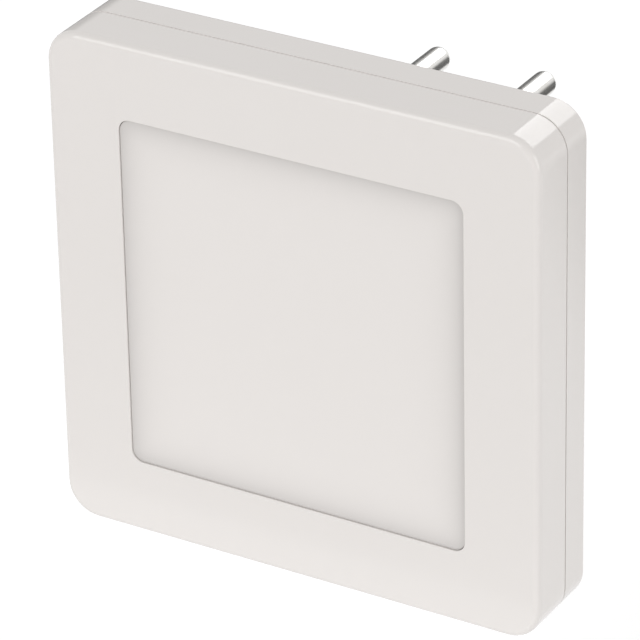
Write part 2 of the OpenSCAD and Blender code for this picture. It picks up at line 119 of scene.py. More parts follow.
SKY_LEVEL = 0.54
world = bpy.data.worlds.new("Studio")
world.use_nodes = True
sky = world.node_tree
sky.nodes.clear()
lighting = sky.nodes.new("ShaderNodeBackground")
lighting.inputs["Strength"].default_value = SKY_LEVEL
backdrop = sky.nodes.new("ShaderNodeBackground")
for shade in (lighting, backdrop):
    shade.inputs["Color"].default_value = (1, 1, 1, 1)
sky_mix = sky.nodes.new("ShaderNodeMixShader")
sky_out = sky.nodes.new("ShaderNodeOutputWorld")
feed(sky, sky_mix.inputs["Fac"], seen_directly(sky))
feed(sky, sky_mix.inputs[1], lighting.outputs[0])
feed(sky, sky_mix.inputs[2], backdrop.outputs[0])
feed(sky, sky_out.inputs["Surface"], sky_mix.outputs[0])
bpy.context.scene.world = world


def spread(tree, value, low, high, start=0.3, end=0.7, easing="LINEAR"):
    """Maps a value from start..end to low..high."""
    made = tree.nodes.new("ShaderNodeMapRange")
    made.interpolation_type = easing
    for label, given in (("Value", value), ("From Min", start), ("From Max", end),
                         ("To Min", low), ("To Max", high)):
        feed(tree, made.inputs[label], given)
    return made.outputs["Result"]


def sheet_of(name, width, height, material):
    """Flat square sheet for the studio, square to +Z, that isn't part of the light."""
    bm = bmesh.new()
    bmesh.ops.create_grid(bm, x_segments=1, y_segments=1, size=0.5)
    bmesh.ops.scale(bm, vec=(width, height, 1), verts=bm.verts)
    mesh = bpy.data.meshes.new(name)
    bm.to_mesh(mesh)
    bm.free()
    mesh.materials.append(material)
    made = bpy.data.objects.new(name, mesh)
    bpy.context.collection.objects.link(made)
    return made


def matt(name, grey, roughness):
    """Grey material without gloss, for the studio."""
    made = bpy.data.materials.new(name)
    made.use_nodes = True
    shader = made.node_tree.nodes["Principled BSDF"]
    shader.inputs["Base Color"].default_value = (grey, grey, grey, 1)
    shader.inputs["Roughness"].default_value = roughness
    shader.inputs["Specular IOR Level"].default_value = 0
    return made


def make_clear(tree, clearness):
    """Makes a material as clear as the given socket says."""
    shade = tree.nodes.new("ShaderNodeMixShader")
    feed(tree, shade.inputs["Fac"], clearness)
    feed(tree, shade.inputs[1], tree.nodes["Principled BSDF"].outputs[0])
    feed(tree, shade.inputs[2], tree.nodes.new("ShaderNodeBsdfTransparent").outputs[0])
    feed(tree, tree.nodes["Material Output"].inputs["Surface"], shade.outputs[0])


FLOOR_DROP = 60 * MM
FLOOR_SIZE = 6
FLOOR_GLOW = 0.3
HORIZON_GLOW = 0.56
GLOW_NEAR = 0.2
GLOW_FAR = 1.2
paper = matt("White paper", grey=0.9, roughness=0.9)
paper_tree = paper.node_tree
paper_inputs = paper_tree.nodes["Principled BSDF"].inputs
paper_inputs["Emission Color"].default_value = (1, 1, 1, 1)
# Far off, where the lamps don't reach, the floor glows more, so that it meets the sky.
span = paper_tree.nodes.new("ShaderNodeVectorMath")
span.operation = "LENGTH"
feed(paper_tree, span.inputs[0], paper_tree.nodes.new("ShaderNodeTexCoord").outputs["Object"])
glow = spread(paper_tree, span.outputs["Value"], FLOOR_GLOW, HORIZON_GLOW,
              start=GLOW_NEAR, end=GLOW_FAR, easing="SMOOTHSTEP")
feed(paper_tree, paper_inputs["Emission Strength"],
     maths(paper_tree, "MULTIPLY", seen_directly(paper_tree), glow))
# From below the floor is clear, so that the switch in the bottom edge can be looked at.
make_clear(paper_tree, paper_tree.nodes.new("ShaderNodeNewGeometry").outputs["Backfacing"])
floor = sheet_of("Floor", FLOOR_SIZE, FLOOR_SIZE, paper)
floor.location = (0, 0, cad_box[0].z - FLOOR_DROP)


def softbox(name, place, width, height, watts):
    """Rectangular lamp at place, turned to the middle of the light's front face."""
    lamp_data = bpy.data.lights.new(name, "AREA")
    lamp_data.shape = "RECTANGLE"
    lamp_data.size = width
    lamp_data.size_y = height
    lamp_data.energy = watts
    lamp = bpy.data.objects.new(name, lamp_data)
    lamp.location = place
    lamp.rotation_euler = (Vector(place) - FRONT_CENTRE).to_track_quat("Z", "Y").to_euler()
    lamp.visible_camera = False
    bpy.context.collection.objects.link(lamp)


softbox("Key", place=(-0.35, -1.1, 0.6), width=0.8, height=0.8, watts=5.3)
softbox("Side", place=(1.3, -0.35, 0.25), width=0.6, height=0.9, watts=4.2)
softbox("Rim", place=(0.115, 1.0, 0.68), width=0.97, height=0.36, watts=3.2)
softbox("Low", place=(0, -0.075, -0.085), width=0.24, height=0.02, watts=0.008)

dark_grey = matt("Dark card", grey=0.2, roughness=1)
card_tree = dark_grey.node_tree
# The card is clear at its rim and dark in its middle, so the stripes have soft edges.
# Across it, its coordinates run from 0 to 1.
CARD_MIDDLE = 0.5
CARD_DARK_HALF = 0.25
from_corner = card_tree.nodes.new("ShaderNodeSeparateXYZ")
feed(card_tree, from_corner.inputs[0], card_tree.nodes.new("ShaderNodeTexCoord").outputs["Generated"])
darkness = 1
for across in from_corner.outputs[:2]:
    off_middle = maths(card_tree, "ABSOLUTE", maths(card_tree, "SUBTRACT", across, CARD_MIDDLE))
    dark_here = spread(card_tree, off_middle, 0, 1, start=CARD_MIDDLE, end=CARD_DARK_HALF,
                       easing="SMOOTHSTEP")
    darkness = maths(card_tree, "MULTIPLY", darkness, dark_here)
make_clear(card_tree, maths(card_tree, "SUBTRACT", 1, darkness))
PIN_MIDDLE = Vector((0, 14 * MM, 0))


def dark_card(name, angle, distance, width, height):
    """Card that only reflections see, at an angle round the pins' axis from +Z towards +X."""
    card = sheet_of(name, width, height, dark_grey)
    away = Vector((back.xz.length * math.sin(angle), -back.y, back.xz.length * math.cos(angle)))
    along = Vector((math.cos(angle), 0, -math.sin(angle)))
    card.matrix_world = Matrix.Translation(PIN_MIDDLE + away * distance) @ Matrix(
        (along, along.cross(away), -away)).transposed().to_4x4()
    card.visible_camera = False
    card.visible_diffuse = False
    card.visible_shadow = False
    card.visible_transmission = False


dark_card("Card left", angle=math.radians(-97), distance=0.2, width=0.3, height=0.2)
dark_card("Card right", angle=math.radians(119), distance=0.12, width=0.12, height=0.12)


# ---- Front shell ----
# The square front half of the case, with the window's frame, a low rib behind it and
# four screw bosses. Injection moulded in warm white plastic in a polished mould; it
# closes on the rear shell along the parting line.

BODY_W = (bezel_high.x - bezel_low.x) / MM
BODY_H = (bezel_high.z - bezel_low.z) / MM
FRONT_DEPTH = (bezel_high.y - bezel_low.y) / MM
CORNER_R = 5.5
EDGE_R = 1.15
SEAM_R = 0.05
SIDE_WALL = 1.8
FACE_WALL = 2.0
BAND = 12.5
WINDOW_R = 2.0
WINDOW_EDGE_R = 0.1
STACK_R = 3.0
FLANGE_LAP = 2.5
SLIP_GAP = 0.15
RIB_H = 2.5
RIB_T = 1.2
BOSS_R = 3.0
BOSS_INSET = 6.5
PILOT_R = 1.1
PILOT_FLOOR = 0.8
PILOT_BOTTOM = FACE_WALL + PILOT_FLOOR
STACK_INSET = BAND - FLANGE_LAP
# An added solid reaches OVERLAP into its wall, and a cutter CUT_PAST beyond the face.
OVERLAP = 0.2
CUT_PAST = 1.0
CORNER_STEPS = 10
EDGE_STEPS = 6
STRAIGHT_LEFT = 0.001
SAME_DEPTH = 1e-5
WELD = 1e-4


def four(inset_x, inset_z):
    """Places in the body's four corners, at these distances from its sides."""
    return [(sx * (BODY_W / 2 - inset_x), sz * (BODY_H / 2 - inset_z))
            for sx in (-1, 1) for sz in (-1, 1)]


def arc(across, depth, radius, start, turn=90, steps=EDGE_STEPS):
    """Points of an arc in a section, from the angle start through turn, in degrees."""
    angles = [math.radians(start + turn * i / steps) for i in range(steps + 1)]
    return [(across + radius * math.cos(a), depth + radius * math.sin(a)) for a in angles]


def loop(bm, width, height, radius, depth, x=0.0, z=0.0, filled=False):
    """Edges of a rectangle with round corners at one depth, with a face inside if filled."""
    known = set(bm.edges)
    corners = [bm.verts.new((x + sx * width / 2, depth, z + sz * height / 2))
               for sx, sz in ((1, 1), (-1, 1), (-1, -1), (1, -1))]
    bm.faces.new(corners)
    widest = min(width, height) / 2 - STRAIGHT_LEFT
    bmesh.ops.bevel(bm, geom=corners, offset=min(radius, widest), offset_type="OFFSET",
                    affect="VERTICES", segments=CORNER_STEPS, profile=0.5, material=-1)
    edges = [e for e in bm.edges if e not in known]
    if not filled:
        bmesh.ops.delete(bm, geom=list(edges[0].link_faces), context="FACES_ONLY")
    return edges


def skin(bm, loops, closed=False):
    """Walls from each loop to the next, and from the last to the first if closed. Two loops
    at one depth get a flat face between them."""
    pairs = list(zip(loops, loops[1:]))
    if closed:
        pairs.append((loops[-1], loops[0]))
    for first, second in pairs:
        depths = [v.co.y for e in first + second for v in e.verts]
        if max(depths) - min(depths) < SAME_DEPTH:
            bmesh.ops.triangle_fill(bm, edges=first + second, use_beauty=True, normal=(0, 1, 0))
        else:
            bmesh.ops.bridge_loops(bm, edges=first + second)


def frames(bm, profile, filled=()):
    """Loops that follow the body's outline, from (inset, corner radius, depth), with a face in
    those at the depths in filled."""
    return [loop(bm, BODY_W - 2 * inset, BODY_H - 2 * inset, radius, depth, filled=depth in filled)
            for inset, radius, depth in profile]


def spun(bm, places, centre, axis, steps):
    """Solid swept by a line of points that turns once about an axis through centre."""
    known = set(bm.verts)
    points = [bm.verts.new(place) for place in places]
    edges = [bm.edges.new(pair) for pair in zip(points, points[1:])]
    bmesh.ops.spin(bm, geom=points + edges, cent=centre, axis=axis, angle=math.tau, steps=steps,
                   use_merge=True)
    bmesh.ops.remove_doubles(bm, verts=[v for v in bm.verts if v not in known], dist=WELD)


def turn(bm, profile, x=0.0, z=0.0, steps=48):
    """Solid turned about an axis along Y, from (radius, depth) points that start and end on it
    or come back to where they start."""
    spun(bm, [(x + r, depth, z) for r, depth in profile], (x, 0, z), (0, 1, 0), steps)


def block(bm, width, height, y0, y1, x=0.0, z=0.0):
    """Box between two depths."""
    place = Matrix.Translation((x, (y0 + y1) / 2, z)) @ Matrix.Diagonal((width, y1 - y0, height, 1))
    return bmesh.ops.create_cube(bm, size=1, matrix=place)["verts"]


def solid(bm, name, middle=FRONT_CENTRE):
    """Makes an object of a bmesh drawn in millimetres from middle, its faces outwards."""
    bmesh.ops.recalc_face_normals(bm, faces=bm.faces)
    bmesh.ops.scale(bm, vec=(MM, MM, MM), verts=bm.verts)
    bmesh.ops.translate(bm, vec=middle, verts=bm.verts)
    mesh = bpy.data.meshes.new(name)
    bm.to_mesh(mesh)
    bm.free()
    made = bpy.data.objects.new(name, mesh)
    bpy.context.collection.objects.link(made)
    return made


def combine(piece, *changes):
    """Adds solids to a piece or cuts them out of it, from (operation, solid) pairs."""
    for operation, other in changes:
        step = piece.modifiers.new(other.name, "BOOLEAN")
        step.operation = operation
        step.solver = "EXACT"
        step.object = other
    ready = piece.evaluated_get(bpy.context.evaluated_depsgraph_get())
    plain_mesh = piece.data
    piece.data = bpy.data.meshes.new_from_object(ready)
    piece.modifiers.clear()
    bpy.data.meshes.remove(plain_mesh)
    for operation, other in changes:
        bpy.data.objects.remove(other)


def show(piece, material, slot, *replaced, body="light_body", crease=32):
    """Gives a finished piece its material and smooth faces, and puts it in place of CAD nodes."""
    piece.data.materials.append(material)
    piece.data.shade_smooth()
    piece.data.set_sharp_from_angle(angle=math.radians(crease))
    piece.modifiers.new("Even shading", "WEIGHTED_NORMAL").keep_sharp = True
    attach(piece, body)
    if replaced:
        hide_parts(*replaced)


def effect(name, *inputs):
    """Node group with a colour, a roughness and a normal still to put out. The inputs are
    (name, kind, value)."""
    group = bpy.data.node_groups.new(name, "ShaderNodeTree")
    for label, kind, value in inputs:
        made = group.interface.new_socket(label, in_out="INPUT", socket_type="NodeSocket" + kind)
        made.default_value = value
    for label, kind in (("Colour", "Color"), ("Roughness", "Float"), ("Normal", "Vector")):
        group.interface.new_socket(label, in_out="OUTPUT", socket_type="NodeSocket" + kind)
    return group, group.nodes.new("NodeGroupInput").outputs


def put_out(group, *values):
    """Ends a node group with the values of its outputs."""
    for socket, value in zip(group.nodes.new("NodeGroupOutput").inputs, values):
        feed(group, socket, value)


def grain(tree, scale, detail=2.0, stretch=(1, 1, 1)):
    """Noise from 0 to 1 on Object coordinates, with scale in spots per metre."""
    place = tree.nodes.new("ShaderNodeMapping")
    place.inputs["Scale"].default_value = stretch
    feed(tree, place.inputs["Vector"], tree.nodes.new("ShaderNodeTexCoord").outputs["Object"])
    noise = tree.nodes.new("ShaderNodeTexNoise")
    noise.inputs["Scale"].default_value = scale
    noise.inputs["Detail"].default_value = detail
    feed(tree, noise.inputs["Vector"], place.outputs["Vector"])
    return noise.outputs["Fac"]


def blended(tree, factor, first, second):
    """Colour between two others."""
    made = tree.nodes.new("ShaderNodeMix")
    made.data_type = "RGBA"
    feed(tree, made.inputs[0], factor)
    feed(tree, made.inputs[6], first)
    feed(tree, made.inputs[7], second)
    return made.outputs[2]


def bumped(tree, height, strength, depth):
    """Normal of a surface that rises by depth, in metres, where height is 1."""
    made = tree.nodes.new("ShaderNodeBump")
    feed(tree, made.inputs["Strength"], strength)
    feed(tree, made.inputs["Distance"], depth)
    feed(tree, made.inputs["Height"], height)
    return made.outputs["Normal"]


# Moulded plastic: flow clouds in the colour, haze from handling, slow waves in the polish
moulding, given = effect(
    "Moulded plastic", ("Colour", "Color", (0.8, 0.8, 0.8, 1)), ("Cloud", "Color", (0.8, 0.8, 0.8, 1)),
    ("Polished", "Float", 0.1), ("Hazy", "Float", 0.2), ("Waves", "Float", 0.1))
haze = maths(moulding, "MULTIPLY", grain(moulding, 55, 4), grain(moulding, 900, 2))
swell = maths(moulding, "ADD", grain(moulding, 120, 1),
              maths(moulding, "MULTIPLY", grain(moulding, 2600, 1), 0.04))
put_out(moulding,
        blended(moulding, spread(moulding, grain(moulding, 28, 3), 0, 1), given["Colour"], given["Cloud"]),
        spread(moulding, haze, given["Polished"], given["Hazy"], start=0.2, end=0.42),
        bumped(moulding, swell, given["Waves"], 0.1 * MM))


def material_from(name, group, constants, shader_values=()):
    """Principled material fed by an effect group, whose constants are set by name."""
    made = bpy.data.materials.new(name)
    made.use_nodes = True
    tree = made.node_tree
    shader = tree.nodes["Principled BSDF"]
    marks = tree.nodes.new("ShaderNodeGroup")
    marks.node_tree = group
    for label, value in constants.items():
        marks.inputs[label].default_value = value
    for label, target in (("Colour", "Base Color"), ("Roughness", "Roughness"), ("Normal", "Normal")):
        feed(tree, shader.inputs[target], marks.outputs[label])
    for label, value in shader_values:
        shader.inputs[label].default_value = value
    return made


def moulded(name, colour, cloud, polished, hazy, waves, ior=1.5):
    """Moulded plastic in a colour that drifts to another in soft clouds."""
    return material_from(name, moulding, {
        "Colour": (*colour, 1), "Cloud": (*cloud, 1), "Polished": polished, "Hazy": hazy,
        "Waves": waves}, [("IOR", ior)])


shell_white = moulded("Polished warm white", (0.802, 0.768, 0.743), (0.797, 0.762, 0.736),
                      0.09, 0.15, 0.05)

bm = bmesh.new()
outside = [(inset, CORNER_R - inset, depth) for inset, depth in
           arc(SEAM_R, FRONT_DEPTH - SEAM_R, SEAM_R, 90, steps=2) + arc(EDGE_R, EDGE_R, EDGE_R, 180)]
window = [(inset, WINDOW_R + BAND - inset, depth) for inset, depth in
          arc(BAND - WINDOW_EDGE_R, WINDOW_EDGE_R, WINDOW_EDGE_R, 270, steps=3)]
rib_inside = STACK_INSET - SLIP_GAP
rib_outside = rib_inside - RIB_T
inside = [(BAND, WINDOW_R, FACE_WALL),
          (rib_inside, STACK_R, FACE_WALL),
          (rib_inside, STACK_R, FACE_WALL + RIB_H),
          (rib_outside, STACK_R + RIB_T, FACE_WALL + RIB_H),
          (rib_outside, STACK_R + RIB_T, FACE_WALL),
          (SIDE_WALL, CORNER_R - SIDE_WALL, FACE_WALL),
          (SIDE_WALL, CORNER_R - SIDE_WALL, FRONT_DEPTH)]
skin(bm, frames(bm, outside + window + inside), closed=True)
front_shell = solid(bm, "front_shell")

BOSSES = four(BOSS_INSET, BOSS_INSET)
bm = bmesh.new()
for x, z in BOSSES:
    turn(bm, [(0, FACE_WALL - OVERLAP), (BOSS_R, FACE_WALL - OVERLAP), (BOSS_R, FRONT_DEPTH),
              (PILOT_R, FRONT_DEPTH), (PILOT_R, PILOT_BOTTOM), (0, PILOT_BOTTOM)], x, z)
front_bosses = solid(bm, "front_bosses")

SWITCH_T = 3.6
KNOB_L = 6.0
KNOB_T = 2.8
TRAVEL = 2.0
MOVE_GAP = 0.3
SWITCH_DEPTH = FRONT_DEPTH - SWITCH_T / 2
SLOT_L = KNOB_L + TRAVEL + 2 * MOVE_GAP
bm = bmesh.new()
block(bm, SLOT_L, SIDE_WALL + 2 * CUT_PAST, SWITCH_DEPTH - KNOB_T / 2 - MOVE_GAP,
      FRONT_DEPTH + CUT_PAST, z=SIDE_WALL / 2 - BODY_H / 2)
knob_slot = solid(bm, "knob_slot")

combine(front_shell, ("UNION", front_bosses), ("DIFFERENCE", knob_slot))
show(front_shell, shell_white, "shell", "front_bezel")

# ---- Diffuser ----
# The opal square behind the window, pressed against the frame by its flange. Moulded in
# milky plastic with a fine satin skin. Within a few millimetres of the frame its colour is
# painted darker: painted shade for the light that the frame keeps from getting in behind it.

FLANGE_T = 1.2
FLANGE_BACK = FACE_WALL + FLANGE_T
RECESS = 0.3
WINDOW_GAP = 0.05
OPAL_EDGE_R = 0.1
RIM_SHADE_FADE = 2.2 * MM
RIM_SHADE_DEPTH = 0.27
RIM_SHADE_LIMIT = 1.3
window_half = (BODY_W / 2 - BAND) * MM

opal_skin, given = effect(
    "Opal sheet with painted rim shade", ("Colour", "Color", (0.8, 0.8, 0.8, 1)), ("Rim", "Color", (0.6, 0.6, 0.6, 1)),
    ("Fade", "Float", RIM_SHADE_FADE), ("Half", "Float", window_half), ("Middle", "Float", 0.0))
# Painted shade: the colour fades towards the darker Rim colour near each side of the window, for the shade
# that the frame throws into the sheet, and not for any dye in the plastic.
place = opal_skin.nodes.new("ShaderNodeSeparateXYZ")
feed(opal_skin, place.inputs[0], opal_skin.nodes.new("ShaderNodeTexCoord").outputs["Object"])
squares = []
for value in (place.outputs["X"], maths(opal_skin, "SUBTRACT", place.outputs["Z"], given["Middle"])):
    gap = maths(opal_skin, "SUBTRACT", given["Half"], maths(opal_skin, "ABSOLUTE", value))
    shade = maths(opal_skin, "EXPONENT",
                  maths(opal_skin, "DIVIDE", maths(opal_skin, "MULTIPLY", gap, -1), given["Fade"]))
    squares.append(maths(opal_skin, "POWER", shade, 2))
rim = maths(opal_skin, "SQRT", maths(opal_skin, "ADD", *squares))
put_out(opal_skin,
        blended(opal_skin, maths(opal_skin, "MINIMUM", rim, RIM_SHADE_LIMIT), given["Colour"], given["Rim"]),
        spread(opal_skin, grain(opal_skin, 700, 3), 0.32, 0.42),
        bumped(opal_skin, grain(opal_skin, 5200, 2), 0.25, 0.02 * MM))
# The Rim colour is the painted shade at the frame, a fixed fraction darker than the opal.
OPAL = (0.815, 0.780, 0.755)
opal = material_from("Opal plastic", opal_skin, {
    "Colour": (*OPAL, 1), "Rim": (*(c * (1 - RIM_SHADE_DEPTH) for c in OPAL), 1),
    "Middle": FRONT_CENTRE.z})

bm = bmesh.new()
face = [(inset + BAND + WINDOW_GAP, WINDOW_R - inset, depth + RECESS) for inset, depth in
        arc(OPAL_EDGE_R, OPAL_EDGE_R, OPAL_EDGE_R, 270, turn=-90, steps=2)]
flange = [(BAND + WINDOW_GAP, WINDOW_R, FACE_WALL), (STACK_INSET, STACK_R, FACE_WALL),
          (STACK_INSET, STACK_R, FLANGE_BACK)]
skin(bm, frames(bm, face + flange, filled=(RECESS, FLANGE_BACK)))
diffuser_panel = solid(bm, "diffuser_panel")
show(diffuser_panel, opal, "opal", "diffuser")

# ---- Reflector tray ----
# A shallow white tray behind the diffuser that mixes the light of the LEDs. Moulded in
# matt white plastic, with a window for each LED in its floor, and held between the board
# and the diffuser's flange.

TRAY_RIM = 1.77
TRAY_SLOPE = 2.43
TRAY_FLOOR = 1.0
TRAY_EDGE_R = 0.25
LED_ROWS = 3
LED_PITCH = 18.0
LED_L = 3.5
LED_W = 2.8
LED_ROOM = 0.5
LEDS = [((i - (LED_ROWS - 1) / 2) * LED_PITCH, (j - (LED_ROWS - 1) / 2) * LED_PITCH)
        for i in range(LED_ROWS) for j in range(LED_ROWS)]
tray_white = moulded("Matt white", (0.86, 0.86, 0.855), (0.83, 0.83, 0.825), 0.5, 0.62, 0.3)

bm = bmesh.new()
hollow = FRONT_DEPTH - TRAY_FLOOR
# Outside and down the slope inside: (inset, how much tighter the corners are, depth)
sections = [(0, 0, FRONT_DEPTH), (0, 0, FLANGE_BACK + TRAY_EDGE_R),
            (TRAY_EDGE_R, 0.1, FLANGE_BACK), (TRAY_RIM - TRAY_EDGE_R, 0.6, FLANGE_BACK),
            (TRAY_RIM, 0.8, FLANGE_BACK + TRAY_EDGE_R),
            (TRAY_RIM + TRAY_SLOPE - TRAY_EDGE_R, 1.4, hollow - TRAY_EDGE_R / 2),
            (TRAY_RIM + TRAY_SLOPE + TRAY_EDGE_R, 1.8, hollow)]
skin(bm, frames(bm, [(STACK_INSET + inset, STACK_R - tighter, depth)
                     for inset, tighter, depth in sections], filled=(FRONT_DEPTH, hollow)))
reflector = solid(bm, "reflector")
bm = bmesh.new()
for x, z in LEDS:
    block(bm, LED_L + 2 * LED_ROOM, LED_W + 2 * LED_ROOM, hollow - CUT_PAST, FRONT_DEPTH + CUT_PAST, x, z)
combine(reflector, ("DIFFERENCE", solid(bm, "led_windows")))
show(reflector, tray_white, "tray", "reflector_tray")

# ---- Circuit board ----
# One glass fibre board between the tray and the rear shell's posts, with a tongue that
# carries the switch. Green solder mask lies over its copper, and its cut edges show bare.

BOARD_T = 1.6
BOARD_BACK = FRONT_DEPTH + BOARD_T
WALL_Z = BODY_H / 2 - SIDE_WALL
KNOB_FLANGE_T = 0.9
KNOB_FLANGE_GAP = 0.25
FLANGE_Z = WALL_Z - KNOB_FLANGE_GAP
CASE_L = 8.6
CASE_BOTTOM = FLANGE_Z - KNOB_FLANGE_T - MOVE_GAP
TONGUE_SIDE = 3.0
TONGUE_W = CASE_L + 2 * TONGUE_SIDE
TRACK_SCALE = 260
TRACK_START, TRACK_END = 0.09, 0.12

board_skin, given = effect(
    "Printed board", ("Mask", "Color", (0.02, 0.15, 0.06, 1)),
    ("Copper under mask", "Color", (0.06, 0.28, 0.1, 1)))
on_board = board_skin.nodes.new("ShaderNodeTexCoord").outputs["Object"]
reach = []
for feature in ("F1", "F2"):
    cells = board_skin.nodes.new("ShaderNodeTexVoronoi")
    cells.feature = feature
    cells.distance = "CHEBYCHEV"
    for socket, value in (("Vector", on_board), ("Scale", TRACK_SCALE), ("Randomness", 0.8)):
        feed(board_skin, cells.inputs[socket], value)
    reach.append(cells.outputs["Distance"])
track = spread(board_skin, maths(board_skin, "SUBTRACT", reach[1], reach[0]), 1, 0,
               start=TRACK_START, end=TRACK_END)
put_out(board_skin, blended(board_skin, track, given["Mask"], given["Copper under mask"]),
        spread(board_skin, grain(board_skin, 300, 3), 0.3, 0.42),
        bumped(board_skin, track, 0.5, 0.035 * MM))
board_green = material_from("Green solder mask", board_skin, {})
board_edge = moulded("Cut glass fibre", (0.45, 0.42, 0.24), (0.36, 0.34, 0.19), 0.6, 0.8, 1)

bm = bmesh.new()
board_faces = (FRONT_DEPTH, BOARD_BACK)
skin(bm, frames(bm, [(STACK_INSET, STACK_R, depth) for depth in board_faces], filled=board_faces))
circuit_board = solid(bm, "circuit_board")
bm = bmesh.new()
block(bm, TONGUE_W, CASE_BOTTOM, FRONT_DEPTH, BOARD_BACK, z=-CASE_BOTTOM / 2)
combine(circuit_board, ("UNION", solid(bm, "tongue")))
show(circuit_board, board_green, "board", "main_board")
circuit_board.data.materials.append(board_edge)
for face in circuit_board.data.polygons:
    face.material_index = 0 if abs(face.normal.y) > 0.5 else 1

# ---- LEDs ----
# Nine white packages in a square grid on the front of the board, each with a cup that a
# yellow phosphor in clear silicone fills almost to the rim. They are soldered flat.

LED_H = 0.7
PHOSPHOR_L = 2.4
PHOSPHOR_W = 1.9
CUP_DEPTH = 0.1
CUP_CORNER_R = 0.3
LED_CORNER_R = 0.2
LED_EDGE = 0.1
LED_FRONT = FRONT_DEPTH - LED_H
CUP_FLOOR = LED_FRONT + CUP_DEPTH
package_white = moulded("LED package white", (0.83, 0.83, 0.80), (0.80, 0.80, 0.77), 0.35, 0.5, 0.2)
phosphor_yellow = moulded("Phosphor", (0.84, 0.61, 0.09), (0.78, 0.53, 0.06), 0.12, 0.2, 0.6, 1.43)

package_section = [(LED_L, LED_W, LED_CORNER_R, FRONT_DEPTH, True),
                   (LED_L, LED_W, LED_CORNER_R, LED_FRONT + LED_EDGE, False),
                   (LED_L - LED_EDGE, LED_W - LED_EDGE, CUP_CORNER_R, LED_FRONT, False),
                   (PHOSPHOR_L, PHOSPHOR_W, CUP_CORNER_R, LED_FRONT, False),
                   (PHOSPHOR_L, PHOSPHOR_W, CUP_CORNER_R, CUP_FLOOR, True)]
bm = bmesh.new()
for x, z in LEDS:
    skin(bm, [loop(bm, led_l, led_w, corner_r, depth, x, z, filled=at_end)
              for led_l, led_w, corner_r, depth, at_end in package_section])
show(solid(bm, "led_bodies"), package_white, "led_package", "led_packages")

bm = bmesh.new()
dome = [(0, CUP_FLOOR), (0, LED_FRONT + 0.06), (0.1, LED_FRONT + 0.02), (0.5, LED_FRONT)]
for x, z in LEDS:
    skin(bm, [loop(bm, PHOSPHOR_L - 2 * inset, PHOSPHOR_W - 2 * inset, CUP_CORNER_R, depth, x, z,
                   filled=depth in (CUP_FLOOR, LED_FRONT)) for inset, depth in dome])
show(solid(bm, "led_faces"), phosphor_yellow, "phosphor", "led_phosphors")

# ---- Driver parts ----
# The mains driver on the back of the board: a film capacitor in an epoxy filled box, an
# electrolytic capacitor and a fusible resistor on bent leads, a bridge rectifier, the LED
# driver chip and four chip resistors, all soldered down.

BOX_H = 48.0
BOX_DROP = 8.0
BOX_Z = BODY_H / 2 - BOX_DROP - BOX_H / 2
CAP_ROW = 9.0
SMD_ROW = 9.0
CHIP_ROW = 6.5
CAPS_Z = BOX_Z - BOX_H / 2 + CAP_ROW
SMDS_Z = CAPS_Z + SMD_ROW
CHIPS_Z = BOX_Z + BOX_H / 2 - CHIP_ROW
STANDOFF = 0.3
SEATED = BOARD_BACK + STANDOFF
LEAD_R = 0.35
LEAD_OUT = 1.5
LEAD_IN = 0.3
BEND_R = 0.8
LEG_T = 0.25
FILM_X, FILM_L, FILM_W, FILM_H = -12.0, 18.0, 7.5, 9.0
FILM_EDGE_R = 0.5
CAN_X, CAN_R, CAN_L = 12.0, 4.0, 11.5
CRIMP_DEPTH = 0.45
FUSE_X, FUSE_R, FUSE_L = -14.0, 1.6, 9.0
BRIDGE_X, BRIDGE_W, BRIDGE_H = 3.0, 4.8, 2.5
CHIP_X, CHIP_L, CHIP_W, CHIP_H = 16.0, 4.9, 3.9, 1.5
CHIP_EDGE_R = 0.12
SMD_L, SMD_W, SMD_H, SMD_PITCH = 3.2, 1.6, 0.6, 5.0
SMD_EDGE_R = 0.06
SMD_CAP_L = SMD_L * 0.16
SMD_CAP_EDGE_R = 0.05
SMD_CAP_OUT = 0.02
HAIR = 0.001

# Bright metal: fine lines across the part's length and a little tarnish
metal_skin, given = effect(
    "Worked metal", ("Colour", "Color", (0.7, 0.7, 0.7, 1)), ("Tarnish", "Color", (0.6, 0.6, 0.55, 1)),
    ("Polished", "Float", 0.08), ("Dull", "Float", 0.2), ("Lines", "Float", 0.1))
spots = spread(metal_skin, grain(metal_skin, 300, 4), 0, 1, start=0.5, end=0.75)
rings = grain(metal_skin, 60, 3, stretch=(1, 160, 1))
put_out(metal_skin, blended(metal_skin, spots, given["Colour"], given["Tarnish"]),
        spread(metal_skin, rings, given["Polished"], given["Dull"]),
        bumped(metal_skin, rings, given["Lines"], 0.01 * MM))


def metal(name, colour, tarnish, polished, dull, lines):
    """Bare or plated metal."""
    return material_from(name, metal_skin, {
        "Colour": (*colour, 1), "Tarnish": (*tarnish, 1), "Polished": polished, "Dull": dull,
        "Lines": lines}, [("Metallic", 1.0)])


def peg(bm, radius, y0, y1, x, z, steps=48):
    """Cylinder between two depths."""
    turn(bm, [(0, y0), (radius, y0), (radius, y1), (0, y1)], x, z, steps)


def turn_lying(bm, profile, x, depth, z):
    """Solid turned about an axis along X, from (radius, x) points that start and end on it."""
    spun(bm, [(x + along, depth + r, z) for r, along in profile], (x, depth, z), (1, 0, 0), 32)


def edges_of(verts):
    """Edges at some vertices, each once."""
    return list(dict.fromkeys(e for v in verts for e in v.link_edges))


def soft_block(bm, width, height, y0, y1, x, z, edge):
    """Box with its edges rounded."""
    edges = edges_of(block(bm, width, height, y0, y1, x, z))
    bmesh.ops.bevel(bm, geom=edges, offset=edge, offset_type="OFFSET", affect="EDGES", segments=3,
                    profile=0.5, material=-1)


def rod(bm, places, radius, segments):
    """Round rod through a ring at each of the places, which are matrices."""
    rings = []
    for i, place in enumerate(places):
        made = bmesh.ops.create_circle(bm, segments=segments, radius=radius,
                                       cap_ends=i in (0, len(places) - 1), matrix=place)
        rings.append(edges_of(made["verts"]))
    skin(bm, rings)


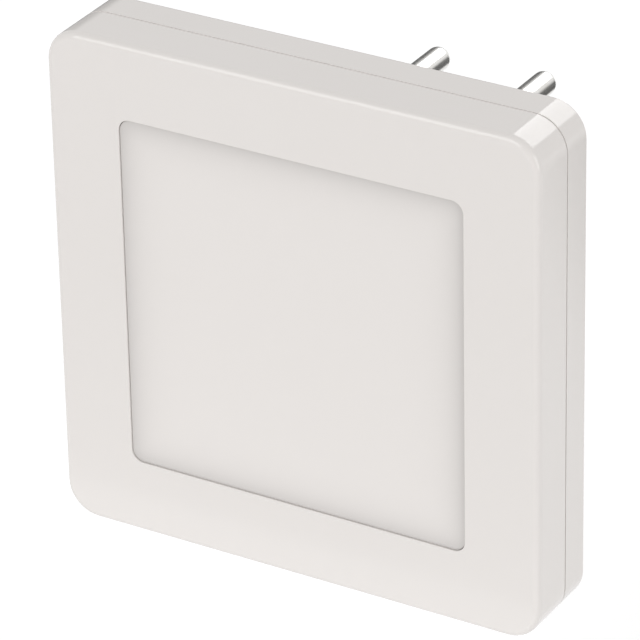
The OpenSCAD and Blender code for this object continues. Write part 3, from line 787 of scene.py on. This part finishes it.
def bent_lead(bm, x, way, depth, z):
    """Lead that leaves a lying part along X and turns down to the board."""
    x_bend = x + way * (LEAD_OUT - BEND_R)
    centres = [Vector((x - way * LEAD_R, depth, z)), Vector((x_bend, depth, z))]
    centres += [Vector((x_bend + way * BEND_R * math.sin(a), depth + BEND_R * (math.cos(a) - 1), z))
                for a in (math.radians(degrees) for degrees in (30, 60, 90))]
    centres.append(Vector((x + way * LEAD_OUT, BOARD_BACK, z)))
    places = []
    for i, centre in enumerate(centres):
        ahead = centres[min(i + 1, len(centres) - 1)] - centres[max(i - 1, 0)]
        places.append(Matrix.Translation(centre) @ ahead.to_track_quat("Z", "Y").to_matrix().to_4x4())
    rod(bm, places, LEAD_R, 12)


tinned = metal("Tinned copper", (0.72, 0.72, 0.70), (0.60, 0.60, 0.58), 0.18, 0.35, 0.1)
epoxy_yellow = moulded("Yellow box and epoxy", (0.72, 0.46, 0.05), (0.66, 0.40, 0.04), 0.25, 0.4, 0.8)
shrink_blue = moulded("Dark blue shrink sleeve", (0.030, 0.036, 0.065), (0.036, 0.042, 0.075),
                      0.16, 0.26, 0.6)
lacquer_blue = moulded("Pale blue lacquer", (0.26, 0.44, 0.52), (0.22, 0.39, 0.47), 0.2, 0.34, 1)
epoxy_black = moulded("Black moulding compound", (0.016, 0.016, 0.018), (0.022, 0.022, 0.024),
                      0.45, 0.6, 0.5)
glaze_black = moulded("Black resistor glaze", (0.028, 0.028, 0.032), (0.035, 0.035, 0.04),
                      0.25, 0.35, 0.5)


def second_finish(piece, material, chosen):
    """Gives the faces that chosen picks a second material; it gets each face in millimetres."""
    piece.data.materials.append(material)
    for face in piece.data.polygons:
        if chosen((face.center - FRONT_CENTRE) / MM):
            face.material_index = 1


bm = bmesh.new()
soft_block(bm, FILM_L, FILM_W, SEATED, SEATED + FILM_H, FILM_X, CAPS_Z, FILM_EDGE_R)
film_leads = [(FILM_X + way * (FILM_L / 2 - LEAD_OUT), CAPS_Z) for way in (-1, 1)]
for x, z in film_leads:
    peg(bm, LEAD_R, BOARD_BACK, SEATED + OVERLAP / 2, x, z, steps=12)
film_box = solid(bm, "film_box")
show(film_box, epoxy_yellow, "film_box", "film_capacitor")
second_finish(film_box, tinned, lambda at: at.y < SEATED - HAIR)

# The can lies with its crimp and both leads to the left, and its bare end to the right.
can_depth = SEATED + CAN_R
can_left = CAN_X - CAN_L / 2
can_right = CAN_X + CAN_L / 2
crimp = CAN_R / 5
crimp_arc = [(CAN_R - CRIMP_DEPTH * math.sin(math.radians(a)), crimp * (1 + a / 90))
             for a in range(0, 181, 30)]
bm = bmesh.new()
turn_lying(bm, [(0, 0.25), (CAN_R - 0.9, 0.25), (CAN_R - 0.7, 0), (CAN_R - 0.3, 0), (CAN_R, 0.4),
                *crimp_arc, (CAN_R, CAN_L - 0.5), (CAN_R - 0.15, CAN_L - 0.15), (CAN_R - 0.5, CAN_L),
                (CAN_R - 0.8, CAN_L - 0.1), (0, CAN_L - 0.1)], can_left, can_depth, CAPS_Z)
can_lead_rows = [CAPS_Z + side * CAN_R * 2 / 5 for side in (-1, 1)]
for z in can_lead_rows:
    bent_lead(bm, can_left + LEAD_IN, -1, can_depth, z)
can = solid(bm, "electrolytic_can")
show(can, shrink_blue, "can_sleeve", "electrolytic_capacitor")


def bare_can(at):
    """Picks the can's leads and the bare metal of its right end."""
    off_axis = (at.yz - Vector((can_depth, CAPS_Z))).length
    return at.x < can_left - HAIR or (at.x > can_right - 0.2 and off_axis < CAN_R - 0.7)


second_finish(can, tinned, bare_can)

fuse_depth = SEATED + FUSE_R
half_fuse = [(0, 0), (FUSE_R * 0.6, 0.05), (FUSE_R * 0.9, 0.3), (FUSE_R, 0.8),
             (FUSE_R, FUSE_L / 4 - 0.5), (FUSE_R * 0.88, FUSE_L / 4)]
bm = bmesh.new()
turn_lying(bm, half_fuse + [(r, FUSE_L - along) for r, along in reversed(half_fuse)],
           FUSE_X - FUSE_L / 2, fuse_depth, CHIPS_Z)
for way in (-1, 1):
    bent_lead(bm, FUSE_X + way * FUSE_L / 2, way, fuse_depth, CHIPS_Z)
fuse = solid(bm, "fuse_resistor")
show(fuse, lacquer_blue, "resistor", "fusible_resistor")
second_finish(fuse, tinned, lambda at: abs(at.x - FUSE_X) > FUSE_L / 2 + HAIR)


def package(bm, x, length, width, height, legs, leg_w):
    """Moulded chip with its legs bent down to the board on both long sides."""
    soft_block(bm, length, width, BOARD_BACK + LEG_T, BOARD_BACK + LEG_T + height, x, CHIPS_Z,
               CHIP_EDGE_R)
    for along in legs:
        for side in (-1, 1):
            block(bm, leg_w, 4 * LEG_T, BOARD_BACK, BOARD_BACK + LEG_T, x + along,
                  CHIPS_Z + side * (width / 2 + LEG_T))


def bare_legs(at):
    """Picks the legs of a chip."""
    return at.y < BOARD_BACK + LEG_T + HAIR


bm = bmesh.new()
package(bm, BRIDGE_X, BRIDGE_W, BRIDGE_W, BRIDGE_H, (-BRIDGE_W / 4, BRIDGE_W / 4), BRIDGE_W / 7)
bridge = solid(bm, "bridge")
show(bridge, epoxy_black, "chip", "bridge_rectifier")
second_finish(bridge, tinned, bare_legs)

leg_pitch = CHIP_L / 5
bm = bmesh.new()
package(bm, CHIP_X, CHIP_L, CHIP_W, CHIP_H, [leg_pitch * i for i in (-1.5, -0.5, 0.5, 1.5)], leg_pitch / 2)
chip = solid(bm, "led_driver")
show(chip, epoxy_black, "chip", "driver_chip")
second_finish(chip, tinned, bare_legs)

bm = bmesh.new()
smd_places = [FILM_X + i * SMD_PITCH for i in (-1.5, -0.5, 0.5, 1.5)]
for x in smd_places:
    soft_block(bm, SMD_L, SMD_W, BOARD_BACK, BOARD_BACK + SMD_H, x, SMDS_Z, SMD_EDGE_R)
    for way in (-1, 1):
        soft_block(bm, SMD_CAP_L, SMD_W + SMD_CAP_OUT, BOARD_BACK, BOARD_BACK + SMD_H + SMD_CAP_OUT,
                   x + way * (SMD_L - SMD_CAP_L + SMD_CAP_OUT) / 2, SMDS_Z, SMD_CAP_EDGE_R)
resistors = solid(bm, "flat_resistors")
show(resistors, glaze_black, "chip_resistor", "chip_resistors")
second_finish(resistors, tinned,
              lambda at: min(abs(at.x - x) for x in smd_places) > SMD_L / 2 - SMD_CAP_L)

# ---- Slide switch ----
# A miniature slide switch at the board's tongue: a tinned sheet metal case, three solder
# tags behind the board, a black stem that slides, and the warm white knob pressed on the
# stem, which a finger pushes along the slot at the bottom of the light.

CASE_H = 3.6
CASE_EDGE_R = 0.25
CASE_FRONT = FRONT_DEPTH - SWITCH_T
DIMPLE_R = 0.3
DIMPLE_DEPTH = 0.15
DIMPLE_FLARE = 0.2
STEM_L = 2.0
STEM_T = 1.2
STEM_IN = 1.2
STEM_IN_KNOB = 0.8
STEM_EDGE_R = 0.12
STEM_SIDE_GAP = 0.2
SOCKET_H = 4.0
KNOB_OUT = 1.0
KNOB_EDGE_R = 0.4
GROOVE_R = 0.3
GROOVE_PITCH = 1.5
FLANGE_L = SLOT_L + TRAVEL + 1.0
FLANGE_W = KNOB_T + 1.4
KNOB_FLANGE_EDGE_R = 0.2
PRESS_GAP = 0.02
KNOB_X = -TRAVEL / 2


def switch_depths(thickness):
    """Depths of a piece's two faces, about the middle of the switch."""
    return SWITCH_DEPTH - thickness / 2, SWITCH_DEPTH + thickness / 2


sheet_metal = metal("Tinned sheet", (0.60, 0.60, 0.58), (0.50, 0.50, 0.48), 0.22, 0.4, 0.2)
stem_black = moulded("Black acetal", (0.020, 0.020, 0.022), (0.028, 0.028, 0.030), 0.35, 0.5, 0.4)
knob_white = moulded("Knob white", (0.775, 0.740, 0.715), (0.768, 0.732, 0.706), 0.14, 0.24, 0.1)

bm = bmesh.new()
soft_block(bm, CASE_L, CASE_H, CASE_FRONT, FRONT_DEPTH, 0, CASE_H / 2 - CASE_BOTTOM, CASE_EDGE_R)
switch_shell = solid(bm, "switch_shell")
bm = bmesh.new()
block(bm, STEM_L + TRAVEL + 2 * MOVE_GAP, 2 * (STEM_IN + MOVE_GAP),
      *switch_depths(STEM_T + 2 * STEM_SIDE_GAP), z=-CASE_BOTTOM)
for side in (-1, 1):
    turn(bm, [(0, CASE_FRONT - CUT_PAST / 2), (DIMPLE_R + DIMPLE_FLARE, CASE_FRONT - CUT_PAST / 2),
              (DIMPLE_R, CASE_FRONT + DIMPLE_DEPTH), (0, CASE_FRONT + DIMPLE_DEPTH)],
         side * CASE_L / 3, CASE_H / 2 - CASE_BOTTOM, steps=20)
combine(switch_shell, ("DIFFERENCE", solid(bm, "stem_slot")))
show(switch_shell, sheet_metal, "switch_metal", "switch_case")

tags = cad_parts["switch_terminals"].data.materials
tags.clear()
tags.append(tinned)

bm = bmesh.new()
stem_top = CASE_BOTTOM - STEM_IN
stem_bottom = FLANGE_Z + STEM_IN_KNOB
soft_block(bm, STEM_L, stem_bottom - stem_top, *switch_depths(STEM_T), KNOB_X,
           -(stem_bottom + stem_top) / 2, STEM_EDGE_R)
show(solid(bm, "slider_stem"), stem_black, "stem", "switch_stem", body="switch_slider")

bm = bmesh.new()
knob_low = BODY_H / 2 + KNOB_OUT
knob_high = FLANGE_Z - KNOB_FLANGE_T / 2
soft_block(bm, KNOB_L, knob_low - knob_high, *switch_depths(KNOB_T), KNOB_X,
           -(knob_low + knob_high) / 2, KNOB_EDGE_R)
slider_knob = solid(bm, "slider_knob")
bm = bmesh.new()
soft_block(bm, FLANGE_L, KNOB_FLANGE_T, *switch_depths(FLANGE_W), KNOB_X,
           KNOB_FLANGE_T / 2 - FLANGE_Z, KNOB_FLANGE_EDGE_R)
knob_flange = solid(bm, "knob_flange")
bm = bmesh.new()
block(bm, STEM_L + 2 * PRESS_GAP, SOCKET_H, *switch_depths(STEM_T + 2 * PRESS_GAP), KNOB_X,
      SOCKET_H / 2 - stem_bottom - PRESS_GAP)
for i in (-1, 0, 1):
    peg(bm, GROOVE_R, *switch_depths(2 * KNOB_T), KNOB_X + i * GROOVE_PITCH, -knob_low, steps=20)
combine(slider_knob, ("UNION", knob_flange), ("DIFFERENCE", solid(bm, "knob_cuts")))
show(slider_knob, knob_white, "knob", "switch_knob", body="switch_slider")

# ---- Rear shell ----
# The rear half of the case, moulded in one piece with the driver box and the plug block.
# A thin lip locates it in the front shell, and its deep corner holes take the screws.

TOTAL_T = -FRONT_CENTRE.y / MM
BODY_T = 14.8
BACK_EDGE_R = 0.5
FACE_INSIDE = BODY_T - FACE_WALL
BOX_W = 56.0
BOX_T = 11.0
BOX_BACK = BODY_T + BOX_T
BOX_R = 6.0
BOX_EDGE_R = 1.2
PLUG_W = 35.3
PLUG_H = 13.7
PLUG_WALL = 2.0
PLUG_END = 3.0
PLUG_INSIDE = TOTAL_T - PLUG_END
PLUG_EDGE_R = 1.0
PLUG_DROP = 24.2
PIN_Z = BODY_H / 2 - PLUG_DROP
ROOT_R = 0.4
GROOVE_W = 0.25
GROOVE_D = 0.4
LIP_H = 1.5
LIP_T = 0.8
HEAD_R = 2.3
HEAD_H = 1.5
HEAD_SUNK = 0.2
HEAD_ROOM = 0.3
HEAD_CHAMFER = 0.2
HEAD_CUT_PAST = 0.4
SEAT = BODY_T - HEAD_H - HEAD_SUNK
CLEAR_R = 1.35
POST_R = 2.0
POST_INSET_X = 2.5
POST_INSET_Z = 6.0
PIN_PITCH = 19.0
SLEEVE_R = 1.8
PIN_HOLE_CHAMFER = 0.15
PIN_HOLE_CUT_PAST = 0.33
COLLAR_T = 1.5
RETAINER_FACE = PLUG_INSIDE - COLLAR_T
RETAINER_PILOT_BOTTOM = TOTAL_T - 1.0


def nested(bm, width, height, radius, z, section, filled=None):
    """Loops that follow one outline, from (inset, depth); filled is the depth of an end face."""
    return [loop(bm, width - 2 * inset, height - 2 * inset, max(radius - inset, 0.1), depth, z=z,
                 filled=depth == filled) for inset, depth in section]


def root(depth):
    """Section of the hollow round where a block grows out of the face behind it."""
    return [(-inset, y) for inset, y in arc(ROOT_R, depth + ROOT_R, ROOT_R, 270, turn=-90, steps=3)]


def mouth(radius, face, chamfer, past):
    """End of the section of a hole whose mouth is chamfered, which runs on past the face."""
    return [(radius, face - chamfer), (radius + chamfer + past, face + past), (0, face + past)]


bm = bmesh.new()
body_out = nested(bm, BODY_W, BODY_H, CORNER_R, 0,
                  [(GROOVE_D, FRONT_DEPTH), (GROOVE_D, FRONT_DEPTH + GROOVE_W)]
                  + arc(SEAM_R, FRONT_DEPTH + GROOVE_W + SEAM_R, SEAM_R, 270, turn=-90, steps=2)
                  + arc(BACK_EDGE_R, BODY_T - BACK_EDGE_R, BACK_EDGE_R, 180, turn=-90))
box_out = nested(bm, BOX_W, BOX_H, BOX_R, BOX_Z, root(BODY_T)
                 + arc(BOX_EDGE_R, BOX_BACK - BOX_EDGE_R, BOX_EDGE_R, 180, turn=-90))
plug_out = nested(bm, PLUG_W, PLUG_H, PLUG_H / 2, PIN_Z, root(BOX_BACK)
                  + arc(PLUG_EDGE_R, TOTAL_T - PLUG_EDGE_R, PLUG_EDGE_R, 180, turn=-90)[:-1]
                  + [(PLUG_EDGE_R, TOTAL_T)], filled=TOTAL_T)
plug_in = nested(bm, PLUG_W, PLUG_H, PLUG_H / 2, PIN_Z,
                 [(PLUG_WALL, PLUG_INSIDE), (PLUG_WALL, BOX_BACK - FACE_WALL)], filled=PLUG_INSIDE)
box_in = nested(bm, BOX_W, BOX_H, BOX_R, BOX_Z,
                [(FACE_WALL, BOX_BACK - FACE_WALL), (FACE_WALL, FACE_INSIDE)])
lip_out = SIDE_WALL + SLIP_GAP
body_in = nested(bm, BODY_W, BODY_H, CORNER_R, 0,
                 [(SIDE_WALL, FACE_INSIDE), (SIDE_WALL, FRONT_DEPTH + LIP_H),
                  (lip_out + LIP_T, FRONT_DEPTH + LIP_H), (lip_out + LIP_T, FRONT_DEPTH - LIP_H),
                  (lip_out, FRONT_DEPTH - LIP_H), (lip_out, FRONT_DEPTH)])
skin(bm, plug_out[::-1] + box_out[::-1] + body_out[::-1] + body_in[::-1] + box_in[::-1] + plug_in[::-1])
rear_shell = solid(bm, "rear_shell")

bm = bmesh.new()
for x, z in BOSSES:
    peg(bm, BOSS_R, FRONT_DEPTH, SEAT + OVERLAP / 2, x, z)
for x, z in four(STACK_INSET + POST_INSET_X, STACK_INSET + POST_INSET_Z):
    peg(bm, POST_R, BOARD_BACK, FACE_INSIDE + OVERLAP, x, z, steps=32)
peg(bm, BOSS_R, RETAINER_FACE, PLUG_INSIDE + OVERLAP / 2, 0, PIN_Z)
rear_bosses = solid(bm, "rear_bosses")

bm = bmesh.new()
for x, z in BOSSES:
    turn(bm, [(0, FRONT_DEPTH - CUT_PAST), (CLEAR_R, FRONT_DEPTH - CUT_PAST), (CLEAR_R, SEAT),
              (HEAD_R + HEAD_ROOM, SEAT),
              *mouth(HEAD_R + HEAD_ROOM, BODY_T, HEAD_CHAMFER, HEAD_CUT_PAST)], x, z)
pin_hole_r = SLEEVE_R + PRESS_GAP
for side in (-1, 1):
    turn(bm, [(0, PLUG_INSIDE - CUT_PAST), (pin_hole_r, PLUG_INSIDE - CUT_PAST),
              *mouth(pin_hole_r, TOTAL_T, PIN_HOLE_CHAMFER, PIN_HOLE_CUT_PAST)], side * PIN_PITCH / 2, PIN_Z)
peg(bm, PILOT_R, RETAINER_FACE - CUT_PAST, RETAINER_PILOT_BOTTOM, 0, PIN_Z, steps=24)
block(bm, FLANGE_L + TRAVEL + 2 * MOVE_GAP, 4 * LIP_T, FRONT_DEPTH - LIP_H - CUT_PAST,
      FRONT_DEPTH + LIP_H + CUT_PAST, z=2 * LIP_T + PRESS_GAP - WALL_Z)
combine(rear_shell, ("UNION", rear_bosses), ("DIFFERENCE", solid(bm, "rear_cuts")))
shell_white_rear = moulded("Polished warm white, rear", (0.797, 0.763, 0.738), (0.790, 0.756, 0.730),
                           0.09, 0.16, 0.05)
show(rear_shell, shell_white_rear, "rear_shell", "rear_housing")

# ---- Plug pins and sleeves ----
# Two pins turned from brass and plated with bright nickel: a solder tail, a collar that
# stops the pin in the plug block, a neck under its moulded sleeve, and the bare tip.

PIN_R = 2.0
NECK_R = 1.4
TIP_R = 1.5
PIN_LEN = 19.0
SLEEVE_LEN = 10.0
COLLAR_R = 3.0
TAIL_R = 1.7
TAIL_LEN = 7.5
TAIL_CHAMFER = 0.3
COLLAR_CHAMFER = 0.15
SHOULDER_CHAMFER = 0.1
SLEEVE_CHAMFER = 0.12
nickel = metal("Bright nickel", (0.76, 0.75, 0.73), (0.70, 0.68, 0.64), 0.18, 0.26, 0.12)
sleeve_grey = moulded("Sleeve plastic", (0.72, 0.69, 0.665), (0.70, 0.67, 0.645), 0.3, 0.42, 0.3)
PLUG_CENTRE = Vector((0, 0, 0))

collar = -PLUG_END - COLLAR_T
tail = collar - TAIL_LEN
bore = NECK_R + PRESS_GAP
pin_section = [
    (0, tail), (TAIL_R - TAIL_CHAMFER, tail), (TAIL_R, tail + TAIL_CHAMFER), (TAIL_R, collar),
    (COLLAR_R - COLLAR_CHAMFER, collar), (COLLAR_R, collar + COLLAR_CHAMFER),
    (COLLAR_R, -PLUG_END - COLLAR_CHAMFER), (COLLAR_R - COLLAR_CHAMFER, -PLUG_END),
    (NECK_R, -PLUG_END), (NECK_R, SLEEVE_LEN), (PIN_R - SHOULDER_CHAMFER, SLEEVE_LEN),
    (PIN_R, SLEEVE_LEN + SHOULDER_CHAMFER),
    *arc(PIN_R - TIP_R, PIN_LEN - TIP_R, TIP_R, 0, steps=12), (0, PIN_LEN)]
sleeve_section = [
    (bore, -PLUG_END), (SLEEVE_R, -PLUG_END), (SLEEVE_R, SLEEVE_LEN - SLEEVE_CHAMFER),
    (SLEEVE_R - SLEEVE_CHAMFER, SLEEVE_LEN), (bore, SLEEVE_LEN), (bore, -PLUG_END)]
for side, pole in ((-1, "live"), (1, "neutral")):
    x = side * PIN_PITCH / 2
    bm = bmesh.new()
    turn(bm, pin_section, x)
    show(solid(bm, pole + "_prong", PLUG_CENTRE), nickel, "pin", pole + "_pin")
    bm = bmesh.new()
    turn(bm, sleeve_section, x)
    show(solid(bm, pole + "_insulation", PLUG_CENTRE), sleeve_grey, "sleeve", pole + "_sleeve")

# ---- Retainer plate and its screw ----
# A moulded plate inside the plug block that traps the collars of both pins, drawn down on
# its boss by one zinc plated self tapping screw with a cross recess.

RETAINER_T = 3.0
PLATE_EDGE_R = 0.3
SCREW_R = 1.08
SHANK_L = 0.6
POINT_L = 0.6
UNTHREADED_L = 1.6
THREAD_PITCH = 0.8
THREAD_DEPTH = 0.22
HEAD_DOME = 0.5
CROSS_L = HEAD_R * 1.2
CROSS_W = 0.6
CROSS_TAPER = 0.6
CROSS_FLOOR = HEAD_H * 0.4
TIP_ROOM = 0.3
plate_ivory = moulded("Ivory plastic", (0.70, 0.68, 0.62), (0.67, 0.65, 0.59), 0.3, 0.45, 0.4)
zinc = metal("Zinc plate", (0.56, 0.56, 0.55), (0.50, 0.49, 0.45), 0.2, 0.36, 0.25)


def screw_profile(seat, tip, way):
    """Section of a self tapping screw whose head stands out of its seat towards way."""
    head = [(0, HEAD_H), (HEAD_R - HEAD_DOME - 0.4, HEAD_H), (HEAD_R - HEAD_DOME, HEAD_H - 0.08),
            (HEAD_R - 0.15, HEAD_H - HEAD_DOME), (HEAD_R, HEAD_H / 2), (HEAD_R, 0), (SCREW_R, 0)]
    length = abs(seat - tip)
    turns = int((length - UNTHREADED_L) / THREAD_PITCH)
    thread = []
    for i in range(turns):
        start = -SHANK_L - i * THREAD_PITCH
        thread += [(SCREW_R - THREAD_DEPTH, start), (SCREW_R - THREAD_DEPTH, start - THREAD_PITCH / 2),
                   (SCREW_R, start - THREAD_PITCH * 3 / 4)]
    point = [(SCREW_R * 0.7, POINT_L - length), (SCREW_R * 0.35, -length), (0, -length)]
    return [(r, seat + way * along) for r, along in head + thread + point]


def recess_slot(seat, way, places, angle):
    """Cutter for one of the two slots of the cross in each screw's head, narrower at its floor."""
    bm = bmesh.new()
    top = seat + way * (HEAD_H + HEAD_ROOM)
    bottom = seat + way * CROSS_FLOOR
    for x, z in places:
        verts = block(bm, CROSS_L, CROSS_W, min(top, bottom), max(top, bottom), x, z)
        low = [v for v in verts if abs(v.co.y - bottom) < HAIR]
        bmesh.ops.scale(bm, vec=(CROSS_TAPER, 1, CROSS_TAPER), verts=low,
                        space=Matrix.Translation((-x, 0, -z)))
        bmesh.ops.rotate(bm, cent=(x, 0, z), verts=verts,
                         matrix=Matrix.Rotation(math.radians(angle), 3, "Y"))
    return solid(bm, f"slot_{angle}")


def screws(name, seat, tip, way, places):
    """Self tapping screws with a cross recess, at the places (x, z)."""
    bm = bmesh.new()
    for x, z in places:
        turn(bm, screw_profile(seat, tip, way), x, z, steps=32)
    made = solid(bm, name)
    combine(made, *(("DIFFERENCE", recess_slot(seat, way, places, angle)) for angle in (0, 90)))
    return made


plate_front = RETAINER_FACE - RETAINER_T
bm = bmesh.new()
plate_section = [(PLATE_EDGE_R, plate_front), (0, plate_front + PLATE_EDGE_R),
                 (0, RETAINER_FACE - PLATE_EDGE_R), (PLATE_EDGE_R, RETAINER_FACE)]
plate_inset = PLUG_WALL + SLIP_GAP
skin(bm, [loop(bm, PLUG_W - 2 * (plate_inset + inset), PLUG_H - 2 * (plate_inset + inset), PLUG_H,
               depth, z=PIN_Z, filled=inset > 0) for inset, depth in plate_section])
retainer = solid(bm, "retainer_plate")
bm = bmesh.new()
tail_hole_r = TAIL_R + PRESS_GAP
for x, radius in ((-PIN_PITCH / 2, tail_hole_r), (0, CLEAR_R), (PIN_PITCH / 2, tail_hole_r)):
    peg(bm, radius, plate_front - CUT_PAST, RETAINER_FACE + CUT_PAST, x, PIN_Z)
combine(retainer, ("DIFFERENCE", solid(bm, "retainer_holes")))
show(retainer, plate_ivory, "retainer", "pin_retainer")

plate_screw = screws("plate_screw", plate_front, RETAINER_PILOT_BOTTOM - TIP_ROOM, -1, [(0, PIN_Z)])
show(plate_screw, zinc, "screw", "retainer_screw")

# ---- Wires ----
# Brown and blue insulated strands from the pins' tails to the board, each in a soft S. On
# the board's back, a cone of solder stands round each lead of the driver parts.

WIRE_R = 0.8
WIRE_SPREAD = 3.0
WIRE_DROP = 4.0
WIRE_RINGS = 24
SOLDER_R = 0.85
TAIL_END = RETAINER_FACE - TAIL_LEN
brown = moulded("Brown insulation", (0.170, 0.062, 0.026), (0.150, 0.054, 0.022), 0.25, 0.36, 0.6)
blue = moulded("Blue insulation", (0.040, 0.120, 0.420), (0.034, 0.104, 0.370), 0.25, 0.36, 0.6)

facing_y = Matrix.Rotation(math.radians(90), 4, "X")
for side, pole, insulation, slot in ((-1, "live", brown, "wire_brown"), (1, "neutral", blue, "wire_blue")):
    places = []
    for i in range(WIRE_RINGS + 1):
        t = i / WIRE_RINGS
        eased = t * t * (3 - 2 * t)
        centre = (side * (PIN_PITCH / 2 + WIRE_SPREAD * eased), TAIL_END + (BOARD_BACK - TAIL_END) * t,
                  PIN_Z - WIRE_DROP * eased)
        places.append(Matrix.Translation(centre) @ facing_y)
    bm = bmesh.new()
    rod(bm, places, WIRE_R, 16)
    show(solid(bm, pole + "_strand"), insulation, slot, pole + "_wire")

solder = metal("Solder", (0.66, 0.66, 0.67), (0.58, 0.58, 0.59), 0.14, 0.28, 0.3)
joints = film_leads + [(can_left + LEAD_IN - LEAD_OUT, z) for z in can_lead_rows]
joints += [(FUSE_X + way * (FUSE_L / 2 + LEAD_OUT), CHIPS_Z) for way in (-1, 1)]
bm = bmesh.new()
for x, z in joints:
    turn(bm, [(0, BOARD_BACK), (SOLDER_R, BOARD_BACK), (SOLDER_R * 0.75, BOARD_BACK + 0.08),
              (SOLDER_R * 0.55, BOARD_BACK + 0.22), (0, BOARD_BACK + 0.26)], x, z, steps=20)
show(solid(bm, "solder_joints"), solder, "terminal")

# ---- Housing screws ----
# Four zinc plated self tapping screws, sunk in the corners of the back, that pull the rear
# shell on to the bosses of the front shell.

case_screws = screws("case_screws", SEAT, PILOT_BOTTOM + 2 * TIP_ROOM, 1, BOSSES)
show(case_screws, zinc, "screw", "housing_screws")
